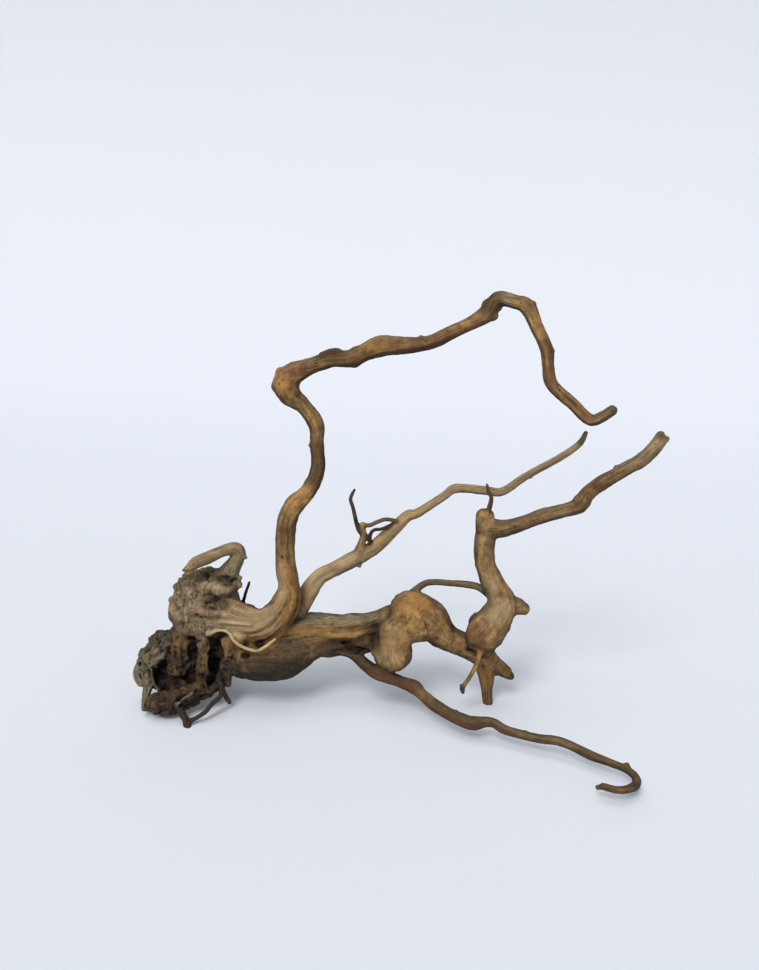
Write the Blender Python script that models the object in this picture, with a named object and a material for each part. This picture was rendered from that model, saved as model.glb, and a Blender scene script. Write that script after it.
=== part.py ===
"""Dry forked root: one grown piece of bare, weathered wood that stands on three low points.

Each limb is a swept curve whose points carry their own radius. The limbs, the knots and the crumbling
columns of the rotten end are joined, remeshed into one skin, roughened, thinned out and cut flat where
they touch the ground.
"""

import math

import bmesh
import bpy
from mathutils import Matrix, Vector

MM = 0.001

# The point of the measuring grid that lies under the middle of the root, mm
GRID_MIDDLE = (96.4, 112.3)

# Points of each limb, from its thick end: x, y, z and radius, mm
LIMBS = {
    "upper": [
        (-62, 134, 84, 22), (-46, 132, 76, 18), (-28, 131, 72, 17), (-14, 130, 73, 16.5),
        (-3, 131, 82, 15), (5, 132, 97, 12.5), (6, 133, 110, 10), (3, 134, 128, 8.4), (2, 136, 152, 8),
        (6, 137, 174, 7.8), (21, 139, 193, 7.3), (27, 142, 211, 5.8), (25, 145, 229, 5.6),
        (24, 148, 244, 6.4), (14, 151, 257, 6.6), (2, 152, 267, 9), (-1, 152, 276, 10.5), (5, 151, 284, 9),
        (18, 150, 291, 6.2), (34, 149, 297, 6.6), (50, 147, 299, 6.8), (61, 145, 305, 6.7),
        (73, 144, 310, 7.8), (90, 141, 312, 6.6), (110, 138, 316, 5.5), (126, 135, 325, 5.6),
        (140, 132, 333, 5.3), (151, 130, 341, 6.9), (158, 128, 352, 6), (170, 124, 351, 5.2),
        (179, 120, 348, 5.8), (187, 116, 334, 5.1), (195, 112, 319, 5.1), (197, 109, 307, 4.6),
        (201, 106, 294, 4.9), (216, 100, 282, 4.4), (229, 94, 272, 4.1), (236, 88, 276, 4.1),
        (242, 84, 282, 3.8),
    ],
    "second": [
        (2, 146, 68, 10), (13, 148, 80, 8), (27, 154, 106, 7.6), (41, 158, 115, 6.9), (64, 163, 128, 6.6),
        (77, 166, 136, 6.2), (92, 170, 151, 5.4), (103, 174, 162, 4.8), (112, 176, 165, 4.1),
        (133, 182, 179, 3.6), (144, 185, 186, 4), (169, 190, 184, 3.8), (185, 193, 183, 3.6),
        (205, 197, 197, 3.4), (234, 203, 214, 3.1), (250, 207, 226, 2.9), (255, 209, 236, 2),
    ],
    "log": [
        (-20, 135, 56, 15), (8, 141, 62, 14.5), (31, 146, 64, 13), (50, 149, 64, 12), (71, 153, 66, 11.5),
        (86, 153, 71, 12), (101, 150, 79, 13),
    ],
    "hump": [
        (95, 126, 57, 16), (93, 127, 65, 17.4), (101, 131, 76, 15.2), (112, 139, 86, 20.3),
        (126, 142, 82, 16.8), (139, 144, 67, 12.2), (158, 146, 57, 10.8), (175, 149, 46, 9.5),
        (189, 152, 35, 6.8), (203, 155, 25, 4.3),
    ],
    "foot stub": [(175, 149, 46, 9), (180, 149, 27, 6.8), (182, 149, 12, 4.8), (184, 149, -2, 4.6)],
    "upright": [
        (174, 141, 58, 10), (173, 138, 72, 15.5), (181, 138, 86, 15), (186, 140, 98, 12.6),
        (183, 142, 109, 10.6), (174, 145, 123, 9), (169, 147, 137, 9), (168, 150, 157, 8.3),
        (166, 152, 174, 7.4),
    ],
    "spur": [(188, 141, 99, 10), (198, 142, 98, 7.6), (206, 144, 95, 5.4)],
    "outer": [
        (167, 151, 163, 8.5), (181, 150, 164, 7), (197, 150, 169, 6.3), (214, 152, 176, 6),
        (231, 154, 181, 6),
        (244, 156, 186, 6.6), (250, 157, 196, 6.6), (260, 158, 205, 6.1), (272, 160, 213, 6),
        (282, 161, 220, 5.8),
        (291, 163, 225, 5.9), (301, 166, 234, 6.2), (308, 168, 245, 5.8),
    ],
    "top twig": [
        (170, 151, 172, 3.2), (169, 150, 180, 2.3), (170, 150, 190, 1.9), (167, 149, 196, 1.7),
        (165, 148, 202, 1.3),
    ],
    "bridge": [
        (106, 146, 98, 4), (118, 152, 108, 2.9), (127, 153, 111, 2.7), (143, 153, 111, 2.8),
        (156, 152, 111, 3.2), (167, 149, 110, 3.2), (180, 144, 102, 3.6),
    ],
    "tail": [
        (-54, 127, 52, 13), (-34, 126, 46, 16.5), (-16, 126, 46, 18.5), (2, 128, 46, 17), (18, 130, 51, 13.5),
        (32, 132, 55, 9.5), (43, 132, 54, 7.2), (52, 133, 53, 5.6), (60, 132, 51, 4.4), (66, 130, 48.5, 4.5),
        (73, 127, 44, 5), (82, 124, 39, 5.5), (92, 123, 36, 5.6), (106, 122, 31, 5), (116, 119, 29, 6),
        (121, 115, 26, 4.8), (132, 107, 21, 4.9), (146, 99, 17, 5), (159, 91, 16, 5.4), (166, 90, 16, 5.6),
        (173, 89, 18, 4.5), (181, 88, 18, 4), (191, 83, 15, 3.7), (214, 74, 15, 3.7), (230, 70, 16, 3.7),
        (242, 64, 15, 3.5), (254, 57, 13, 3.7), (267, 49, 13, 3.1), (278, 43, 12, 3), (283, 35, 11, 3.1),
        (281, 27, 10, 3.4), (273, 20, 11, 3.1), (264, 17, 12, 2.9), (254, 19, 13, 2.8),
    ],
    "beak": [
        (-46, 130, 110, 12), (-43, 128, 120, 8.8), (-38, 126, 129, 6.8), (-35, 124, 136, 6.3),
        (-34, 123, 141, 6.2), (-38, 122, 144, 5.6), (-47, 119, 142, 4.8), (-59, 115, 137, 4.9),
        (-67, 112, 134, 4.6), (-71, 110, 131, 3.2), (-76, 109, 128, 1.2),
    ],
    "front twig": [
        (172, 131, 70, 3.6), (171, 131, 62, 2.7), (169, 129, 56, 2.3), (167, 128, 47, 2.1),
        (163, 126, 38, 1.9),
        (159, 125, 31, 1.9), (157, 125, 27, 2.5), (158, 124, 23, 1.4),
    ],
    "black twig": [(-36, 138, 80, 2), (-33, 140, 88, 1.7), (-31, 141, 96, 1.4), (-28, 143, 106, 1.3)],
    "fork": [
        (64, 163, 127, 6.9), (64, 162, 134, 4.8), (65, 160, 141, 3.2), (66, 158, 148, 2.8),
        (65, 157, 155, 2.6),
        (65, 156, 159, 2.3),
    ],
    "fork sliver": [(68, 157, 150, 1.4), (70, 158, 145, 1.3), (72, 161, 140, 1.3)],
    "high twig": [
        (64, 157, 150, 1.9), (61, 156, 155, 1.9), (58, 154, 167, 1.8), (56, 153, 175, 1.7),
        (54, 152, 181, 1.7), (55, 152, 186, 1.5), (57, 153, 190, 1.2),
    ],
    "loop twig": [
        (65, 156, 158, 2), (71, 157, 158, 1.9), (76, 159, 160, 1.9), (83, 162, 162, 1.9), (88, 165, 161, 1.9),
        (93, 168, 159, 1.8), (97, 171, 155, 1.9),
    ],
    "low twig": [
        (72, 164, 138, 1.6), (72, 160, 149, 1.7), (75, 160, 153, 1.6), (81, 163, 153, 1.6),
        (92, 170, 156, 1.8),
    ],
    "rear root": [
        (-60, 142, 66, 20), (-66, 156, 44, 13), (-66, 170, 28, 10), (-61, 182, 13, 8), (-58, 189, -2, 7.5),
    ],
    "rear strand": [
        (-78, 152, 92, 6), (-60, 160, 78, 6), (-36, 154, 66, 5), (-12, 152, 60, 4), (20, 158, 66, 3),
    ],
    "rear rib": [
        (-84, 142, 78, 7), (-88, 148, 56, 6), (-84, 152, 36, 5), (-78, 148, 20, 3.5), (-76, 140, 10, 2.5),
    ],
    "top fibre": [
        (-46, 119, 98, 6.5), (-36, 119, 94, 6), (-26, 119, 89, 5.5), (-15, 119, 87, 5), (-6, 121, 92, 5),
    ],
    "mid fibre": [
        (-48, 118, 91, 7), (-36, 117, 88, 5.5), (-24, 117, 86, 5), (-12, 118, 87, 4.5), (-1, 121, 95, 4.5),
        (4, 124, 107, 4),
    ],
    "low fibre": [
        (-56, 117, 80, 6), (-44, 115, 78, 5), (-31, 115, 79, 5), (-20, 115, 79, 5), (-11, 117, 83, 5),
        (-4, 120, 90, 4.5),
    ],
    "pale strand": [
        (-57, 112, 72, 3), (-45, 106, 79, 2), (-38, 105, 77, 2), (-34, 104, 71, 2), (-27, 104, 66, 2),
        (-16, 104, 63, 2), (-9, 106, 66, 2), (-1, 109, 72, 1.6), (5, 114, 79, 2),
    ],
    "orange lobe": [(-33, 116, 71, 10), (-36, 115, 62, 8.5), (-38, 115, 55, 5)],
    "splinter": [(-28, 111, 56, 3), (-30, 109, 51, 2), (-27, 108, 47, 1.6), (-24, 108, 41, 1.3)],
    "grey fold": [(-36, 117, 52, 6), (-34, 116, 44, 4), (-34, 117, 36, 2.6)],
    "left column": [
        (-95, 124, 57, 8.5), (-101, 122, 50, 10), (-107, 120, 41, 10.5), (-109, 118, 33, 8),
        (-107, 114, 27, 6),
        (-107, 107, 20, 4), (-107, 101, 14, 3.5), (-107, 98, 7, 3),
    ],
    "column root": [(-75, 128, 62, 13), (-89, 125, 55, 11), (-100, 124, 54, 9.5)],
    "flake": [(-110, 119, 43, 5.5), (-115, 117, 38, 4), (-117, 115, 28, 3.5), (-113, 112, 22, 3)],
    "middle mass": [
        (-72, 130, 66, 17), (-81, 128, 51, 17), (-83, 124, 40, 15), (-87, 121, 28, 10), (-82, 116, 19, 8),
    ],
    "rear wall": [(-101, 134, 43, 13), (-101, 131, 24, 15), (-87, 127, 17, 11)],
    "inner wall": [(-62, 132, 60, 17), (-68, 132, 46, 17), (-76, 130, 29, 15.5), (-65, 124, 20, 10)],
    "scoop": [
        (-50, 120, 34, 8), (-53, 118, 24, 7.5), (-64, 112, 19, 8), (-74, 106, 15, 8.5), (-85, 101, 13, 10.5),
        (-96, 99, 12, 9), (-104, 99, 9, 4),
    ],
    "slot left": [(-63, 116, 64, 7.5), (-59, 112, 52, 6.5), (-60, 112, 38, 6.5), (-61, 112, 23, 5)],
    "slot right": [(-38, 116, 65, 10), (-39, 116, 53, 8), (-40, 117, 42, 5), (-46, 119, 34, 5)],
    "front toe": [(-81, 98, 16, 3.6), (-76, 93, 10, 3.6), (-71, 89, 5, 3.8), (-69, 87, -2, 4.2)],
    "thin root": [
        (-69, 88, 3, 3), (-63, 92, 5, 2.3), (-56, 96, 9, 2.5), (-51, 102, 14, 2.5), (-46, 108, 17, 2.5),
        (-46, 112, 26, 3),
    ],
    "right leg": [(-50, 115, 34, 4), (-47, 114, 25, 3), (-44, 116, 14, 2.6), (-40, 118, 5, 2.1)],
    "short leg": [(-45, 117, 44, 6), (-42, 118, 32, 4), (-41, 118, 22, 2.5)],
    "crevice": [(50, 145, 50, 6), (62, 142, 51, 6.5), (72, 138, 56, 7), (81, 134, 62, 8)],
    "arm flake": [(26, 147, 301, 2), (33, 147, 304, 2.1), (39, 146, 305, 2.1), (44, 146, 303, 1.6)],
}

# Limbs whose cross-section is ribbed along the grain. The others are round.
RIBBED = ("upper", "second", "log", "upright", "outer", "tail", "rear root")

# Knots and burrs: centre and half sizes, mm
KNOTS = [
    ((-62, 133, 89), (28, 22, 27)),
    ((-47, 119, 112), (12, 9, 8)),
    ((-65, 121, 76), (10, 10, 10)),
    ((-48, 128, 112), (13, 12, 12)),
    ((-62, 128, 109), (14, 13, 13)),
    ((-75, 130, 102), (12.5, 12, 12.5)),
    ((-79, 130, 82), (14.5, 14, 15)),
    ((-71, 126, 70), (16, 14, 15)),
    ((-46, 126, 92), (14, 12, 14)),
    ((-70, 148, 84), (17, 14, 20)),
    ((-6, 152, 284), (4.5, 5, 4.5)),
    ((-9, 152, 273), (4.5, 5, 5)),
    ((2, 151, 268), (9, 8, 9)),
    ((52, 147, 296), (5, 5, 4)),
    ((69, 145, 314), (4.5, 4.5, 3.5)),
    ((155, 129, 340), (4.5, 5, 4.5)),
    ((161, 127, 355), (4, 4, 3.8)),
    ((180, 119, 350), (4, 4, 4)),
    ((246, 156, 189), (8, 8, 7)),
    ((310, 168, 244), (4, 5, 4)),
    ((169, 150, 77), (8.5, 8, 9)),
    ((184, 142, 75), (9.5, 9, 10)),
    ((120, 117, 28), (4.5, 5, 4.5)),
    ((163, 89, 16), (5, 5, 5)),
    ((278, 44, 13), (3.6, 3.6, 3.2)),
]

# Cross-section of a ribbed limb: number of ribs and their height as a share of the radius
RIBS = 6
RIB_HEIGHT = 0.10
PROFILE_POINTS = 36

SKIN_STEP = 1.15 * MM
SMOOTH_PASSES = 3
GRAIN_SIZE = 9 * MM
GRAIN_DEPTH = 1.6 * MM
KEPT_SHARE = 0.039


def clear_scene():
    for old in list(bpy.data.objects):
        bpy.data.objects.remove(old, do_unlink=True)


def make_profile(name, ribs, height):
    """A closed outline of 1 mm mean radius, for a curve's bevel."""
    data = bpy.data.curves.new(name, "CURVE")
    data.dimensions = "2D"
    spline = data.splines.new("POLY")
    spline.points.add(PROFILE_POINTS - 1)
    for i, point in enumerate(spline.points):
        angle = math.tau * i / PROFILE_POINTS
        radius = MM * (1 + height * math.sin(ribs * angle) + 0.6 * height * math.sin(2 * angle + 1))
        point.co = (radius * math.cos(angle), radius * math.sin(angle), 0, 1)
    spline.use_cyclic_u = True
    profile = bpy.data.objects.new(name, data)
    bpy.context.collection.objects.link(profile)
    profile.hide_render = True
    profile.display_type = "WIRE"
    return profile


def add_limb(skin, name, points, profile):
    """Sweeps the profile along the points and adds the result, with rounded ends, to the skin mesh."""
    data = bpy.data.curves.new(name, "CURVE")
    data.dimensions = "3D"
    data.resolution_u = 6
    data.bevel_mode = "OBJECT"
    data.bevel_object = profile
    data.use_fill_caps = True
    spline = data.splines.new("BEZIER")
    spline.bezier_points.add(len(points) - 1)
    for (x, y, z, radius), point in zip(points, spline.bezier_points):
        point.co = (x * MM, y * MM, z * MM)
        point.radius = radius
        point.handle_left_type = "AUTO"
        point.handle_right_type = "AUTO"
    limb = bpy.data.objects.new(name, data)
    bpy.context.collection.objects.link(limb)
    graph = bpy.context.evaluated_depsgraph_get()
    mesh = bpy.data.meshes.new_from_object(limb.evaluated_get(graph))
    skin.from_mesh(mesh)
    bpy.data.meshes.remove(mesh)
    bpy.data.objects.remove(limb, do_unlink=True)
    for x, y, z, radius in (points[0], points[-1]):
        add_knot(skin, (x, y, z), (radius * 0.96,) * 3)


def add_knot(skin, centre, half_sizes):
    place = Matrix.Translation(Vector(centre) * MM) @ Matrix.Diagonal((*half_sizes, 1)) @ Matrix.Scale(MM, 4)
    bmesh.ops.create_icosphere(skin, subdivisions=3, radius=1, matrix=place)


def make_skin():
    """One object that holds every limb and knot as overlapping closed shapes."""
    ribbed = make_profile("ribbed outline", RIBS, RIB_HEIGHT)
    plain = make_profile("round outline", RIBS, 0.0)
    skin = bmesh.new()
    for name, points in LIMBS.items():
        add_limb(skin, name, points, ribbed if name in RIBBED else plain)
    for centre, half_sizes in KNOTS:
        add_knot(skin, centre, half_sizes)
    mesh = bpy.data.meshes.new("root skin")
    skin.to_mesh(mesh)
    skin.free()
    obj = bpy.data.objects.new("root skin", mesh)
    bpy.context.collection.objects.link(obj)
    bpy.data.objects.remove(ribbed, do_unlink=True)
    bpy.data.objects.remove(plain, do_unlink=True)
    return obj


def weather(obj):
    """Joins the shapes into one skin and gives it the unevenness of weathered wood."""
    remesh = obj.modifiers.new("join", "REMESH")
    remesh.mode = "VOXEL"
    remesh.voxel_size = SKIN_STEP
    smooth = obj.modifiers.new("blend", "SMOOTH")
    smooth.iterations = SMOOTH_PASSES
    texture = bpy.data.textures.new("worn grain", "CLOUDS")
    texture.noise_scale = GRAIN_SIZE
    texture.noise_depth = 2
    displace = obj.modifiers.new("wear", "DISPLACE")
    displace.texture = texture
    displace.texture_coords = "LOCAL"
    displace.strength = GRAIN_DEPTH
    displace.mid_level = 0.5
    decimate = obj.modifiers.new("thin out", "DECIMATE")
    decimate.ratio = KEPT_SHARE


def largest_piece(mesh):
    """Deletes all but the biggest connected piece of the mesh."""
    unseen = set(mesh.verts)
    pieces = []
    while unseen:
        start = unseen.pop()
        piece = {start}
        edge_of_search = [start]
        while edge_of_search:
            vert = edge_of_search.pop()
            for edge in vert.link_edges:
                other = edge.other_vert(vert)
                if other in unseen:
                    unseen.remove(other)
                    piece.add(other)
                    edge_of_search.append(other)
        pieces.append(piece)
    pieces.sort(key=len)
    for piece in pieces[:-1]:
        bmesh.ops.delete(mesh, geom=list(piece), context="VERTS")


def cut_feet(mesh):
    """Cuts the low points flat at the ground."""
    geometry = mesh.verts[:] + mesh.edges[:] + mesh.faces[:]
    cut = bmesh.ops.bisect_plane(
        mesh, geom=geometry, dist=0.01 * MM, plane_co=(0, 0, 0), plane_no=(0, 0, 1), clear_inner=True
    )
    rim = [item for item in cut["geom_cut"] if isinstance(item, bmesh.types.BMEdge)]
    bmesh.ops.edgenet_fill(mesh, edges=rim)


def wood_material():
    material = bpy.data.materials.new("weathered wood")
    material.use_nodes = True
    shader = material.node_tree.nodes["Principled BSDF"]
    shader.inputs["Base Color"].default_value = (0.22, 0.13, 0.06, 1)
    shader.inputs["Roughness"].default_value = 0.75
    return material


def make_root():
    skin_object = make_skin()
    weather(skin_object)
    graph = bpy.context.evaluated_depsgraph_get()
    data = bpy.data.meshes.new_from_object(skin_object.evaluated_get(graph))
    bpy.data.objects.remove(skin_object, do_unlink=True)
    mesh = bmesh.new()
    mesh.from_mesh(data)
    cut_feet(mesh)
    bmesh.ops.triangulate(mesh, faces=mesh.faces[:])
    largest_piece(mesh)
    bmesh.ops.translate(mesh, verts=mesh.verts[:], vec=(-GRID_MIDDLE[0] * MM, -GRID_MIDDLE[1] * MM, 0))
    bmesh.ops.recalc_face_normals(mesh, faces=mesh.faces[:])
    for face in mesh.faces:
        face.smooth = True
    mesh.to_mesh(data)
    mesh.free()
    data.materials.clear()
    data.materials.append(wood_material())
    root = bpy.data.objects.new("dry_root", data)
    bpy.context.collection.objects.link(root)


clear_scene()
make_root()
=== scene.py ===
"""Dry forked root: the fine surface, wood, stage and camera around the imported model.

The root is rebuilt from its limbs as one fine skin. Every point of the skin knows the limb that it
belongs to, so the ribs, the cracks and the grain run along each limb and turn with it.
"""

import math

import bmesh
import bpy
import numpy as np
from mathutils import Matrix, Vector
from mathutils.bvhtree import BVHTree


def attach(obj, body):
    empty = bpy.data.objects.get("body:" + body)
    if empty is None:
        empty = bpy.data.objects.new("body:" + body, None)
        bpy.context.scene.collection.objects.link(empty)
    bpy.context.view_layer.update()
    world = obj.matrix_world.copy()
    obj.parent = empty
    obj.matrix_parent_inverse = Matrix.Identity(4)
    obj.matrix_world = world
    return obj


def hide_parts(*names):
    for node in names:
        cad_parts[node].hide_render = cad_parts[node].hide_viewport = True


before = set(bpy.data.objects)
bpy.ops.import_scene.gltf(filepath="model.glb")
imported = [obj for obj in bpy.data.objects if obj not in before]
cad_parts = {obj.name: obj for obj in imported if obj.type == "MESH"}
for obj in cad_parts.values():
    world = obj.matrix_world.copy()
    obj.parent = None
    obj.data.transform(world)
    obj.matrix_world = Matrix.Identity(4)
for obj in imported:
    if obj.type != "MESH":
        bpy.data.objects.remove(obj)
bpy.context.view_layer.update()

MM = 0.001

# The point of the measuring grid that lies under the middle of the root, mm
GRID_MIDDLE = (96.4, 112.3)

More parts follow.
